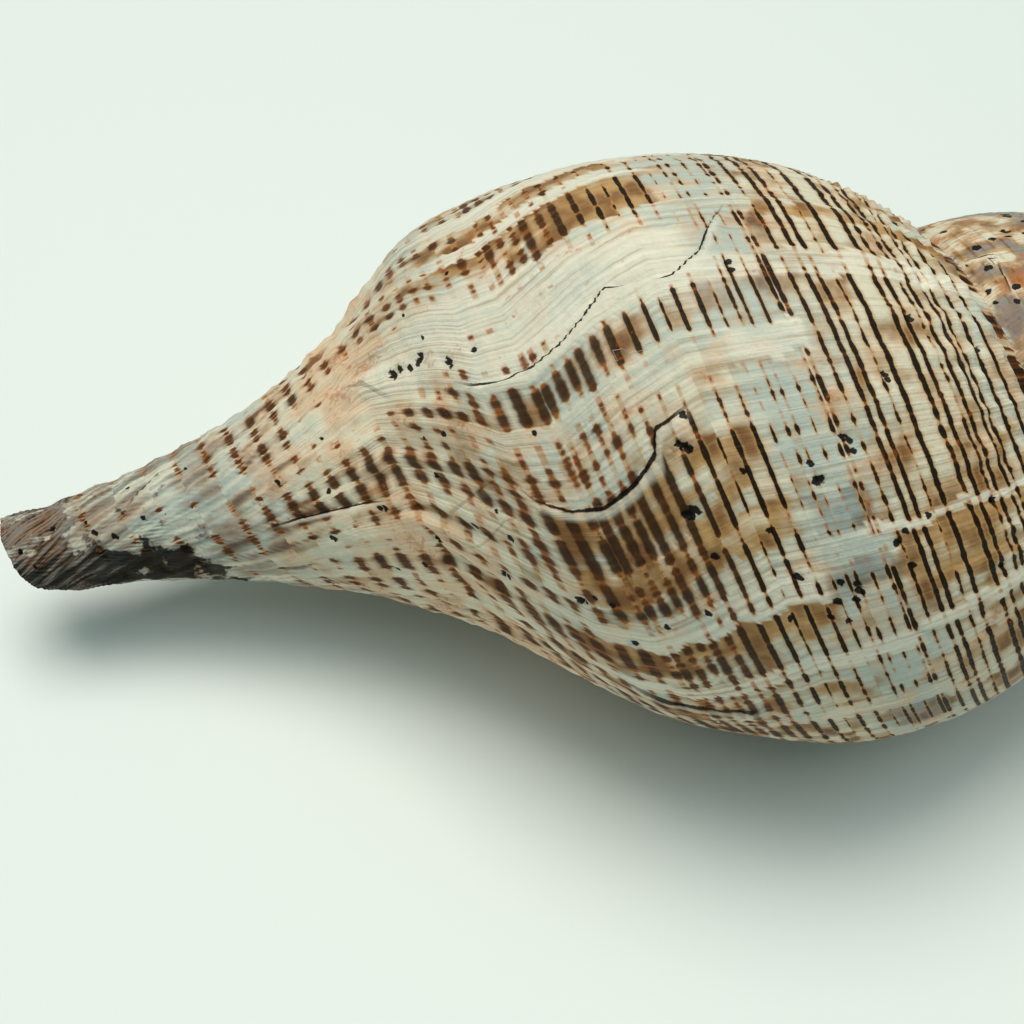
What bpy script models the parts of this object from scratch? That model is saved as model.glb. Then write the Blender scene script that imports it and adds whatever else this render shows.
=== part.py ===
"""A large tulip shell, the shell of a sea snail, at rest on its aperture.

The shell is one piece. Its surface is the path of one profile, from the suture to the tip of the canal,
that turns about the axis and grows by WHORL_GROWTH each turn. Each whorl starts on the one before it, so
the older whorls show only their upper part.

A place on the surface is a turn and a station. Turn 0 is the edge of the outer lip, and older growth has
negative turns. Station 0 is the suture and station 1 is the tip of the canal. The canal points to -X and
the spire to +X. All lengths are in metres.
"""

import math

import bmesh
import bpy
from mathutils import Euler, Vector
from mathutils.geometry import delaunay_2d_cdt, tessellate_polygon

MM = 0.001
FULL_TURN = 2 * math.pi

# Growth: what sets the size and the form of the whole shell
WHORL_GROWTH = 1.6
SHELL_LENGTH = 150 * MM
SUTURE_FROM_APEX = 61.5 * MM
# Distance from the apex and radius of the profile at the lip, in millimetres, past the first point
PROFILE = (
    (66.8, 27.4),
    (73.0, 31.9),
    (81.0, 35.1),
    (89.8, 36.4),
    (98.4, 35.7),
    (105.8, 33.2),
    (112.8, 28.6),
    (119.9, 18.8),
    (127.0, 12.1),
    (134.0, 7.9),
    (142.0, 5.2),
    (150.0, 4.0),
)
# Past the belly, the canal hardly grows from turn to turn
CANAL_STARTS, CANAL_ENDS = 0.42, 1.0
CANAL_LENGTHENING, CANAL_WIDENING = 0.1, 0.1
# The canal bends back a little, and towards the lip
BEND_BACK, BEND_BACK_FROM, BEND_BACK_OVER = 9.6 * MM, 80 * MM, 70 * MM
BEND_SIDE, BEND_SIDE_FROM, BEND_SIDE_OVER = 7.3 * MM, 70 * MM, 65 * MM
BACK_TURN = -0.44

# How the shell lies: the lip's place round the axis, from the front over the top, and the axis's rise
LIP_ANGLE = math.radians(210.0)
SPIRE_RISE = math.radians(16.5)

# Spiral cords: low rounded ridges, narrow ones close together under the suture
CORD_HEIGHT = 0.35 * MM
SHOULDER_CORDS, SHOULDER_END = 4, 0.09
BODY_CORDS = 14
# Ledges of old repairs: the turns that one fades out over and that its step takes, and the facets' distance
LEDGE_REACH = 0.05
LEDGE_GAP = 0.0012
LEDGE_CLEARANCE = 2.4 * MM

# The wall at the lip, how it thickens each turn, and the glaze that covers the whorl before
WALL = 1.8 * MM
WALL_GROWTH = 1.3
CALLUS = 0.4 * MM
# The hollow: the turns between which it runs, and the stations that its outer and inner sides follow
HOLLOW_DEPTH = -1.75
HOLLOW_MOUTH = 0.04
HOLLOW_STEPS = 20
OUTER_STATIONS = (0.05, 0.11, 0.2, 0.32, 0.44, 0.56, 0.66, 0.74)
INNER_STATIONS = (0.74, 0.66, 0.58, 0.5, 0.45)
# The channel along the canal: distance from the apex, distance from the axis and radius, in millimetres
CHANNEL = ((112, 12.5, 3.2), (122, 8.6, 2.6), (134, 4.4, 2.0), (144, 2.4, 1.7), (156, 1.9, 1.7))
CHANNEL_TURN = -0.02
CHANNEL_SIDES = 10

# The first turn and the apex's place, as a share of that turn's suture
FIRST_TURN = -6.5
APEX_SHARE = 0.84
# How finely the surface is faceted: columns in a turn, where they get sparser, and the flat layout's size
COLUMNS = 40
FINE_TURN = -2.0
AROUND, ACROSS = 200 * MM, 105 * MM
# Places nearer than this in turn or station are the same, and points nearer than SEAM in space are joined
SNAP, SEAM = 1e-6, 0.001 * MM


class Ledge:
    """A step left where the lip broke and grew again: the older shell stands proud along one line.

    line holds (station, turn) points in order of station, and height is the step in millimetres.
    """

    def __init__(self, height, line):
        self.height = height * MM
        self.line = line

    def turn_at(self, station):
        """The ledge's turn at a station."""
        for (low, start), (high, end) in zip(self.line, self.line[1:]):
            if station <= high:
                return start + (end - start) * (station - low) / (high - low)
        return self.line[-1][1]

    def relief(self, turn, station):
        """How far the ledge lifts the surface at a place."""
        first, last = self.line[0][0], self.line[-1][0]
        if not first < station < last:
            return 0.0
        behind = self.turn_at(station) - turn
        if not 0 < behind < LEDGE_REACH:
            return 0.0
        middle = (station - first) * (last - station) * 4 / (last - first) ** 2
        return self.height * min(1, 2 * middle) * (1 - behind / LEDGE_REACH) ** 2

    def stations(self):
        """The stations of the line's points and of the points half-way between them."""
        given = [station for station, _ in self.line]
        between = [(a + b) / 2 for a, b in zip(given, given[1:])]
        return sorted(given + between)


LEDGES = (
    Ledge(0.7, ((0.25, -0.30), (0.29, -0.33), (0.34, -0.346), (0.41, -0.346), (0.51, -0.375), (0.59, -0.37))),
    Ledge(0.5, ((0.38, -0.40), (0.42, -0.413), (0.46, -0.436), (0.51, -0.447), (0.55, -0.444), (0.58, -0.42))),
    Ledge(0.4, ((0.45, -0.57), (0.48, -0.58), (0.52, -0.584), (0.55, -0.58), (0.58, -0.56))),
)


def eased(value, start, end):
    """0 before start, 1 after end, and a smooth rise between them."""
    share = min(max((value - start) / (end - start), 0.0), 1.0)
    return share * share * (3 - 2 * share)


def lip_distance(station):
    """Distance from the apex, along the axis, of a station at the lip."""
    return SUTURE_FROM_APEX + (SHELL_LENGTH - SUTURE_FROM_APEX) * station


def station_at(distance):
    """The station at the lip that lies at a distance from the apex."""
    return (distance - SUTURE_FROM_APEX) / (SHELL_LENGTH - SUTURE_FROM_APEX)


def curve_through(points, x):
    """A smooth curve through points, with each point's slope that of the line between its neighbours."""
    last = len(points) - 1
    slopes = []
    for i in range(last + 1):
        (x0, y0), (x1, y1) = points[max(i - 1, 0)], points[min(i + 1, last)]
        slopes.append((y1 - y0) / (x1 - x0))
    i = next((i for i in range(last) if x <= points[i + 1][0]), last - 1)
    (x0, y0), (x1, y1) = points[i], points[i + 1]
    width = x1 - x0
    u = (x - x0) / width
    rise = y0 * (1 + 2 * u) * (1 - u) ** 2 + y1 * u * u * (3 - 2 * u)
    return rise + width * (slopes[i] * u * (1 - u) ** 2 - slopes[i + 1] * u * u * (1 - u))


def in_metres(points):
    return [(x * MM, y * MM) for x, y in points]


SUTURE_RADIUS = curve_through(in_metres(PROFILE), SUTURE_FROM_APEX * WHORL_GROWTH) / WHORL_GROWTH
PROFILE_CURVE = [(SUTURE_FROM_APEX, SUTURE_RADIUS)] + in_metres(PROFILE)
# The station of one whorl on which the next whorl's suture lies
SUTURE_STATION = station_at(SUTURE_FROM_APEX * WHORL_GROWTH)


def section_point(turn, station):
    """(distance from the apex, radius) of a place, in the half-plane of its turn."""
    blend = eased(station, CANAL_STARTS, CANAL_ENDS)
    lengthening = 1 + (CANAL_LENGTHENING - 1) * blend
    widening = 1 + (CANAL_WIDENING - 1) * blend
    distance = lip_distance(station)
    radius = curve_through(PROFILE_CURVE, distance)
    return distance * WHORL_GROWTH ** (turn * lengthening), radius * WHORL_GROWTH ** (turn * widening)


def outward(turn):
    """The direction away from the axis at a turn."""
    angle = LIP_ANGLE + FULL_TURN * turn
    return Vector((0, -math.cos(angle), math.sin(angle)))


def axis_shift(distance):
    """How far the canal's bends carry the shell off its axis at a distance from the apex."""
    back = BEND_BACK * max((distance - BEND_BACK_FROM) / BEND_BACK_OVER, 0) ** 2
    side = BEND_SIDE * eased(distance, BEND_SIDE_FROM, BEND_SIDE_FROM + BEND_SIDE_OVER)
    return outward(BACK_TURN) * back + outward(BACK_TURN + 0.25) * side


def in_space(turn, distance, radius):
    """The point at a turn, a distance from the apex and a radius."""
    return Vector((-distance, 0, 0)) + outward(turn) * radius + axis_shift(distance)


def cord_relief(turn, station):
    """Height of the spiral cords: close together under the suture, wider apart down to the canal."""
    if station < SHOULDER_END:
        phase = station / SHOULDER_END * SHOULDER_CORDS
    else:
        phase = (station - SHOULDER_END) / (1 - SHOULDER_END) * BODY_CORDS
    crest = math.sin(math.pi * (phase % 1))
    if turn <= -1:
        crest *= 1 - eased(station, SUTURE_STATION - 0.04, SUTURE_STATION)
    return CORD_HEIGHT * crest * WHORL_GROWTH ** turn


def surface_point(turn, station):
    """The place on the finished outside of the shell."""
    distance, radius = section_point(turn, station)
    lift = cord_relief(turn, station) + sum(ledge.relief(turn, station) for ledge in LEDGES)
    return in_space(turn, distance, radius + lift)


def cord_stations(last):
    """Stations of the cords' crests and of the grooves between them, as far as last."""
    rows = [SHOULDER_END * i / (2 * SHOULDER_CORDS) for i in range(2 * SHOULDER_CORDS)]
    rows += [SHOULDER_END + (1 - SHOULDER_END) * i / (2 * BODY_CORDS) for i in range(2 * BODY_CORDS)]
    return [row for row in rows if row < last - 0.008] + [last]


def turns_between(first, last):
    """The turns of the columns from first to last, one in two of them on the small old whorls."""
    steps = range(round(first * COLUMNS), round(last * COLUMNS) + 1)
    return [step / COLUMNS for step in steps if step / COLUMNS >= FINE_TURN or step % 2 == 0]


def rows_at(turn):
    """The stations of the points across the whorl at a turn, one in two of them on the small old whorls."""
    rows = cord_stations(SUTURE_STATION if turn <= -1 else 1.0)
    return rows if turn > FINE_TURN - 1 else rows[:1] + rows[1:-1:2] + rows[-1:]


def near_a_ledge(turn, station):
    """Whether a place is too close to a ledge's line for a point of its own."""
    for ledge in LEDGES:
        for line_station in ledge.stations():
            across = (station - line_station) * ACROSS
            along = (turn - ledge.turn_at(line_station)) * AROUND
            if math.hypot(across, along) < LEDGE_CLEARANCE:
                return True
    return False


def sheet_layout():
    """The flat layout of the outside: points as (turn, station), and the edges that the facets keep."""
    points, edges = [], []

    def add_line(line):
        start = len(points)
        points.extend(line)
        edges.extend((i, i + 1) for i in range(start, len(points) - 1))

    lip_rows = cord_stations(1.0)
    older = [turn - 1 for turn in turns_between(FIRST_TURN + 1, 0)]
    rim = [(turn, 0.0) for turn in turns_between(FIRST_TURN, FIRST_TURN + 1)[:-1]]
    rim += [(turn + 1, 0.0) for turn in older]
    rim += [(0.0, row) for row in lip_rows[1:]]
    rim += [(turn, 1.0) for turn in reversed(turns_between(-1, 0)[:-1])]
    rim += [(-1.0, row) for row in reversed(lip_rows[1:-1]) if row > SUTURE_STATION + 0.012]
    rim += [(turn, SUTURE_STATION) for turn in reversed(older)]
    rim += [(FIRST_TURN, row) for row in reversed(rows_at(FIRST_TURN)[1:-1])]
    add_line(rim)
    edges.append((len(rim) - 1, 0))
    for ledge in LEDGES:
        for side in (-LEDGE_GAP, LEDGE_GAP):
            add_line([(ledge.turn_at(station) + side, station) for station in ledge.stations()])
    for turn in turns_between(FIRST_TURN, 0)[1:-1]:
        for row in rows_at(turn)[1:-1]:
            if not near_a_ledge(turn, row):
                points.append((turn, row))
    return points, edges


def add_polygon(mesh, verts):
    """Fills a loop of vertices with triangles."""
    for corners in tessellate_polygon([[vert.co for vert in verts]]):
        mesh.faces.new([verts[i] for i in corners])


def add_fan(mesh, ring, centre):
    """Fills a loop of vertices with triangles that meet at a centre."""
    hub = mesh.verts.new(centre)
    for a, b in zip(ring, ring[1:] + ring[:1]):
        mesh.faces.new((a, b, hub))


def add_strip(mesh, left, right):
    """Fills the band between two rows of vertices, always with the shorter of the two next edges."""
    i = j = 0
    while i < len(left) - 1 or j < len(right) - 1:
        past_left = (left[i + 1].co - right[j].co).length if i < len(left) - 1 else math.inf
        past_right = (left[i].co - right[j + 1].co).length if j < len(right) - 1 else math.inf
        if past_left <= past_right:
            mesh.faces.new((left[i], left[i + 1], right[j]))
            i += 1
        else:
            mesh.faces.new((left[i], right[j + 1], right[j]))
            j += 1


def face_outwards(mesh):
    """Turns the faces of a closed mesh to point out of it."""
    bmesh.ops.recalc_face_normals(mesh, faces=mesh.faces)
    if mesh.calc_volume(signed=True) < 0:
        bmesh.ops.reverse_faces(mesh, faces=mesh.faces)


def shell_mesh():
    """The closed outside of the shell, with the aperture still filled by a flat face."""
    points, edges = sheet_layout()
    flat = [Vector((turn * AROUND, station * ACROSS)) for turn, station in points]
    placed, _, faces, origins, _, _ = delaunay_2d_cdt(flat, edges, [], 1, 1e-9)
    mesh = bmesh.new()
    places = [(p.x / AROUND, p.y / ACROSS) for p in placed]
    verts = [mesh.verts.new(surface_point(*place)) for place in places]
    for face in faces:
        mesh.faces.new([verts[i] for i in face])

    def on_line(axis, value):
        found = [i for i, place in enumerate(places) if abs(place[axis] - value) < SNAP]
        return sorted(found, key=lambda i: places[i][1 - axis])

    lip = on_line(0, 0.0)
    parietal = [i for i in on_line(0, -1.0) if places[i][1] > SUTURE_STATION + SNAP]
    end = on_line(1, 1.0)
    start_profile = on_line(0, FIRST_TURN)
    start_suture = [i for i in on_line(1, 0.0) if SNAP < places[i][0] - FIRST_TURN < 1 - SNAP]
    add_strip(mesh, [verts[i] for i in lip[1:]], [verts[i] for i in parietal])
    mesh.faces.new((verts[lip[0]], verts[lip[1]], verts[parietal[0]]))
    rim = [verts[i] for i in end]
    add_fan(mesh, rim, sum((vert.co for vert in rim), Vector()) / len(rim))
    apex = Vector((-SUTURE_FROM_APEX * WHORL_GROWTH**FIRST_TURN * APEX_SHARE, 0, 0))
    add_fan(mesh, [verts[i] for i in start_profile + start_suture[::-1]], apex)
    bmesh.ops.remove_doubles(mesh, verts=mesh.verts, dist=SEAM)
    face_outwards(mesh)
    return mesh


def tube_mesh(rings):
    """A closed tube through rings of points, with a flat cap on each end."""
    mesh = bmesh.new()
    rows = [[mesh.verts.new(point) for point in ring] for ring in rings]
    for low, high in zip(rows, rows[1:]):
        for i in range(len(low)):
            j = (i + 1) % len(low)
            mesh.faces.new((low[i], low[j], high[j], high[i]))
    add_polygon(mesh, rows[0])
    add_polygon(mesh, rows[-1])
    face_outwards(mesh)
    return mesh


def moved_off_wall(turn, station, depth):
    """The place that lies depth inside the profile at a station, as (distance, radius)."""
    step = 0.01
    distance, radius = section_point(turn, station)
    ahead = section_point(turn, station + step)
    along = Vector((ahead[0] - distance, ahead[1] - radius)).normalized()
    return distance + along.y * depth, radius - along.x * depth


def hollow_mesh():
    """What the animal filled: the room between the newest wall and the whorl before it."""
    rings = []
    steps = round((HOLLOW_MOUTH - HOLLOW_DEPTH) * HOLLOW_STEPS)
    for step in range(steps + 1):
        turn = HOLLOW_MOUTH + (HOLLOW_DEPTH - HOLLOW_MOUTH) * step / steps
        wall = WALL * WALL_GROWTH**turn
        ring = [moved_off_wall(turn, station, wall) for station in OUTER_STATIONS]
        ring += [moved_off_wall(turn - 1, station, -CALLUS) for station in INNER_STATIONS]
        rings.append([in_space(turn, distance, radius) for distance, radius in ring])
    return tube_mesh(rings)


def channel_mesh():
    """The canal's open channel, a round rod half sunk in the face of the lip."""
    rings = []
    side = outward(CHANNEL_TURN + 0.25)
    for distance, out, radius in CHANNEL:
        centre = in_space(CHANNEL_TURN, distance * MM, out * MM)
        ring = []
        for i in range(CHANNEL_SIDES):
            angle = FULL_TURN * i / CHANNEL_SIDES
            away = outward(CHANNEL_TURN) * math.cos(angle) + side * math.sin(angle)
            ring.append(centre + away * radius * MM)
        rings.append(ring)
    return tube_mesh(rings)


def shell_material():
    """Weathered shell: cream and tan, dull, with a slight shine left."""
    material = bpy.data.materials.new("shell")
    material.use_nodes = True
    surface = material.node_tree.nodes["Principled BSDF"]
    surface.inputs["Base Color"].default_value = (0.62, 0.5, 0.37, 1)
    surface.inputs["Roughness"].default_value = 0.45
    surface.inputs["Metallic"].default_value = 0.0
    return material


def add_object(name, bmesh_made):
    """Puts a finished mesh in the scene as an object."""
    mesh = bpy.data.meshes.new(name)
    bmesh_made.to_mesh(mesh)
    bmesh_made.free()
    placed = bpy.data.objects.new(name, mesh)
    bpy.context.scene.collection.objects.link(placed)
    return placed


def cut(target, cutter):
    """Cuts a hidden helper out of an object."""
    cutter.parent = target
    cutter.hide_render = True
    cutter.display_type = "WIRE"
    boolean = target.modifiers.new(cutter.name, "BOOLEAN")
    boolean.operation = "DIFFERENCE"
    boolean.solver = "EXACT"
    boolean.object = cutter


def lay_down(placed):
    """Turns the shell to its resting tilt, on the ground and centred over the origin."""
    turned = Euler((0, -SPIRE_RISE, 0))
    rotation = turned.to_matrix()
    corners = [rotation @ vert.co for vert in placed.data.vertices]
    low = [min(corner[i] for corner in corners) for i in range(3)]
    high = [max(corner[i] for corner in corners) for i in range(3)]
    placed.rotation_euler = turned
    placed.location = (-(low[0] + high[0]) / 2, -(low[1] + high[1]) / 2, -low[2])


def main():
    for old in list(bpy.data.objects):
        bpy.data.objects.remove(old)
    shell = add_object("shell", shell_mesh())
    shell.data.materials.append(shell_material())
    shell.data.shade_smooth()
    shell.data.set_sharp_from_angle(angle=math.radians(35))
    cut(shell, add_object("hollow", hollow_mesh()))
    cut(shell, add_object("channel", channel_mesh()))
    lay_down(shell)


main()
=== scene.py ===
"""The looks of a large, worn tulip shell that lies on its aperture.

A place on the shell is a turn and a station, as in the part. Turn 0 is the edge of the outer lip, and older
growth has negative turns. Station 0 is the suture and station 1 is the tip of the canal. Lengths are in
millimetres, and they become metres only where a mesh is made.
"""

import logging
import math
from dataclasses import dataclass
from enum import Enum
from functools import partial
from typing import Any

import bmesh
import bpy
import numpy as np
from mathutils import Matrix, Vector
from mathutils.bvhtree import BVHTree


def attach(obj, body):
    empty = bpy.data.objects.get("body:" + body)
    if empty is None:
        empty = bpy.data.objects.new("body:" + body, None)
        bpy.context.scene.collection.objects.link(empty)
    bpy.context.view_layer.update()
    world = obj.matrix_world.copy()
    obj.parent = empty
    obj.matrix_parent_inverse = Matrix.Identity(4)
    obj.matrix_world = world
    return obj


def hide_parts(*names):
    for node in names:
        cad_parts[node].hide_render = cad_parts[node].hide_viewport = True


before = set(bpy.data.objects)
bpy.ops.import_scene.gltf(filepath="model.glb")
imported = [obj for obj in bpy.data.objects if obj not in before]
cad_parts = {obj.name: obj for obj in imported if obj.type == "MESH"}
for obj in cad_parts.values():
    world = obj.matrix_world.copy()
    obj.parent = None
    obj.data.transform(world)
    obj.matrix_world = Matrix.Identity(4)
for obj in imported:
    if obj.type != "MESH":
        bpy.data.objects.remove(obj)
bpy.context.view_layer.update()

LOG = logging.getLogger("tulip_shell")
MM = 0.001
FULL_TURN = 2 * math.pi
PHOTO_SIDE = 1024
# One turn of the body whorl, and the profile from suture to canal tip, laid flat
AROUND, ACROSS = 200.0, 105.0
# The maps that the finish reads: the flat lay-out, the spiral lines, and how far off the nearest pit is
FLAT_MAP, LINE_MAP, PIT_MAP = "flat", "lines", "pits"
CORD_SCALE = 100.0
# Places that lie closer than this, in turns or stations, are the same one, and so are points, in metres
SAME_PLACE, SAME_POINT = 1e-5, 1e-7

Array = np.ndarray


def linear(hex_colour: str) -> tuple[float, float, float, float]:
    """Turns an sRGB hex colour to linear light.

    Args:
        hex_colour: six hex digits.

    Returns:
        Red, green, blue and an alpha of 1.
    """
    parts = [int(hex_colour[i : i + 2], 16) / 255 for i in (0, 2, 4)]
    return (*[c / 12.92 if c <= 0.04045 else ((c + 0.055) / 1.055) ** 2.4 for c in parts], 1.0)


class Node(Enum):
    """What a tree is made of: a node's type, the inputs that are filled, the output that is read and its settings."""

    ADD = ("ShaderNodeMath", (0, 1), 0, {"operation": "ADD"})
    SUBTRACT = ("ShaderNodeMath", (0, 1), 0, {"operation": "SUBTRACT"})
    MULTIPLY = ("ShaderNodeMath", (0, 1), 0, {"operation": "MULTIPLY"})
    DIVIDE = ("ShaderNodeMath", (0, 1), 0, {"operation": "DIVIDE"})
    MULTIPLY_ADD = ("ShaderNodeMath", (0, 1, 2), 0, {"operation": "MULTIPLY_ADD"})
    POWER = ("ShaderNodeMath", (0, 1), 0, {"operation": "POWER"})
    MAXIMUM = ("ShaderNodeMath", (0, 1), 0, {"operation": "MAXIMUM"})
    ABSOLUTE = ("ShaderNodeMath", (0,), 0, {"operation": "ABSOLUTE"})
    FLOOR = ("ShaderNodeMath", (0,), 0, {"operation": "FLOOR"})
    ROUND = ("ShaderNodeMath", (0,), 0, {"operation": "ROUND"})
    SINE = ("ShaderNodeMath", (0,), 0, {"operation": "SINE"})
    COSINE = ("ShaderNodeMath", (0,), 0, {"operation": "COSINE"})
    # A value, where it starts and ends, and what comes out at those ends: 0 and 1, unless they are given
    RAMP = ("ShaderNodeMapRange", (0, 1, 2, 3, 4), 0, {"interpolation_type": "SMOOTHSTEP"})
    SLOPE = ("ShaderNodeMapRange", (0, 1, 2, 3, 4), 0, {"interpolation_type": "LINEAR"})
    MIX = ("ShaderNodeMix", (2, 3, 0), 0, {})
    # The colour below, the colour above and the upper one's share
    BLEND = ("ShaderNodeMix", (6, 7, 0), 2, {"data_type": "RGBA"})
    DARKEN = ("ShaderNodeMix", (6, 7, 0), 2, {"data_type": "RGBA", "blend_type": "MULTIPLY"})
    PLACE = ("ShaderNodeCombineXYZ", (0, 1, 2), 0, {})
    PARTS = ("ShaderNodeSeparateXYZ", (0,), 0, {})
    VECTOR_SUBTRACT = ("ShaderNodeVectorMath", (0, 1), 0, {"operation": "SUBTRACT"})
    VECTOR_MULTIPLY_ADD = ("ShaderNodeVectorMath", (0, 1, 2), 0, {"operation": "MULTIPLY_ADD"})
    LENGTH = ("ShaderNodeVectorMath", (0,), "Value", {"operation": "LENGTH"})
    SPOT = ("ShaderNodeTexCoord", (), "Object", {})
    MAP = ("ShaderNodeUVMap", (), 0, {})
    CARRIED = ("ShaderNodeAttribute", (), "Fac", {})
    NOISE = ("ShaderNodeTexNoise", ("Vector", "Scale", "Detail"), 0, {})
    FLAT_NOISE = ("ShaderNodeTexNoise", ("Vector", "Scale", "Detail"), 0, {"noise_dimensions": "2D"})
    CELLS = ("ShaderNodeTexVoronoi", ("Vector", "Scale", "Randomness"), "Distance", {})
    BUMP = ("ShaderNodeBump", ("Height", "Strength", "Distance"), 0, {})
    SURFACE = (
        "ShaderNodeBsdfPrincipled",
        ("Base Color", "Roughness", "Normal", "Specular IOR Level", "Coat Weight"),
        0,
        {},
    )
    FINISH = ("ShaderNodeOutputMaterial", ("Surface",), None, {})
    OBJECT = ("GeometryNodeObjectInfo", ("Object",), "Geometry", {})
    COUNT = ("GeometryNodeAttributeDomainSize", ("Geometry",), "Point Count", {})
    GRID = ("GeometryNodeMeshGrid", ("Vertices X", "Vertices Y"), "Mesh", {})
    INDEX = ("GeometryNodeInputIndex", (), 0, {})
    NAMED = ("GeometryNodeInputNamedAttribute", ("Name",), 0, {"data_type": "FLOAT"})
    SAMPLE = ("GeometryNodeSampleIndex", ("Geometry", "Value", "Index"), 0, {})
    MOVE = ("GeometryNodeSetPosition", ("Geometry", "Position"), 0, {})
    STORE = ("GeometryNodeStoreNamedAttribute", ("Geometry", "Name", "Value"), 0, {})
    REALIZE = ("GeometryNodeRealizeInstances", ("Geometry",), 0, {})
    DRESS = ("GeometryNodeSetMaterial", ("Geometry", "Material"), 0, {})
    OUTPUT = ("NodeGroupOutput", ("Geometry",), None, {})


def add_node(tree: bpy.types.NodeTree, kind: Node, *values: Any, **settings: Any) -> Any:
    """Adds a node with its settings and links.

    Args:
        tree: the tree that it goes into.
        kind: what the node is.
        *values: a value or a socket for each of its inputs, in the order of its kind.
        **settings: the node's own properties.

    Returns:
        The output socket that is read, or None where the node ends a tree.
    """
    type_name, places, output, usual = kind.value
    node = tree.nodes.new(type_name)
    for name, value in (usual | settings).items():
        setattr(node, name, value)
    for place, value in zip(places, values):
        if isinstance(value, bpy.types.NodeSocket):
            tree.links.new(value, node.inputs[place])
        else:
            node.inputs[place].default_value = value
    return None if output is None else node.outputs[output]


def new_material(name: str) -> tuple[bpy.types.Material, Any]:
    """Makes a material with an empty tree.

    Args:
        name: what it is made of.

    Returns:
        The material, and what adds a node to its tree.
    """
    material = bpy.data.materials.new(name)
    material.use_nodes = True
    material.node_tree.nodes.clear()
    return material, partial(add_node, material.node_tree)


def add_object(name: str, data: Any) -> bpy.types.Object:
    """Puts an object in the scene.

    Args:
        name: its name.
        data: its mesh, lamp or camera.

    Returns:
        The object.
    """
    added = bpy.data.objects.new(name, data)
    bpy.context.scene.collection.objects.link(added)
    return added


def applied(item: bpy.types.Object) -> bpy.types.Mesh:
    """Takes the modifiers off an object.

    Args:
        item: the object.

    Returns:
        A new mesh, as they had shaped it.
    """
    depsgraph = bpy.context.evaluated_depsgraph_get()
    mesh = bpy.data.meshes.new_from_object(item.evaluated_get(depsgraph), depsgraph=depsgraph)
    item.modifiers.clear()
    return mesh


def gathered(items: Any, name: str, kind: type = np.float32, width: int = 1) -> Array:
    """Reads one property of all the items of a mesh.

    Args:
        items: its points, corners or faces, or the data of an attribute.
        name: the property.
        kind: the type of its numbers.
        width: how many numbers each item has.

    Returns:
        The numbers, in a row.
    """
    values = np.empty(len(items) * width, kind)
    items.foreach_get(name, values)
    return values


def eased(value: Array, start: float, end: float) -> Array:
    """Returns 0 before start, 1 after end, and a smooth rise between them."""
    share = np.clip((np.asarray(value, float) - start) / (end - start), 0, 1)
    return share * share * (3 - 2 * share)


def bump(value: Array, middle: float, reach: float) -> Array:
    """Returns 1 at the middle, falling smoothly to 0 at reach on both sides."""
    return 1 - eased(np.abs(np.asarray(value, float) - middle), 0, reach)


def noise(x: Array, y: Array, seed: int) -> Array:
    """Smooth random values with one cell per unit.

    Args:
        x: first coordinates.
        y: second coordinates.
        seed: what sets the random values.

    Returns:
        Values from 0 to 1.
    """
    side = 128
    table = np.random.default_rng(seed).random((side, side))
    x, y = np.broadcast_arrays(np.asarray(x, float), np.asarray(y, float))
    left, low = np.floor(x).astype(int), np.floor(y).astype(int)
    u, v = eased(x - left, 0, 1), eased(y - low, 0, 1)
    near = table[left % side, low % side] * (1 - u) + table[(left + 1) % side, low % side] * u
    far = table[left % side, (low + 1) % side] * (1 - u) + table[(left + 1) % side, (low + 1) % side] * u
    return near * (1 - v) + far * v


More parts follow.
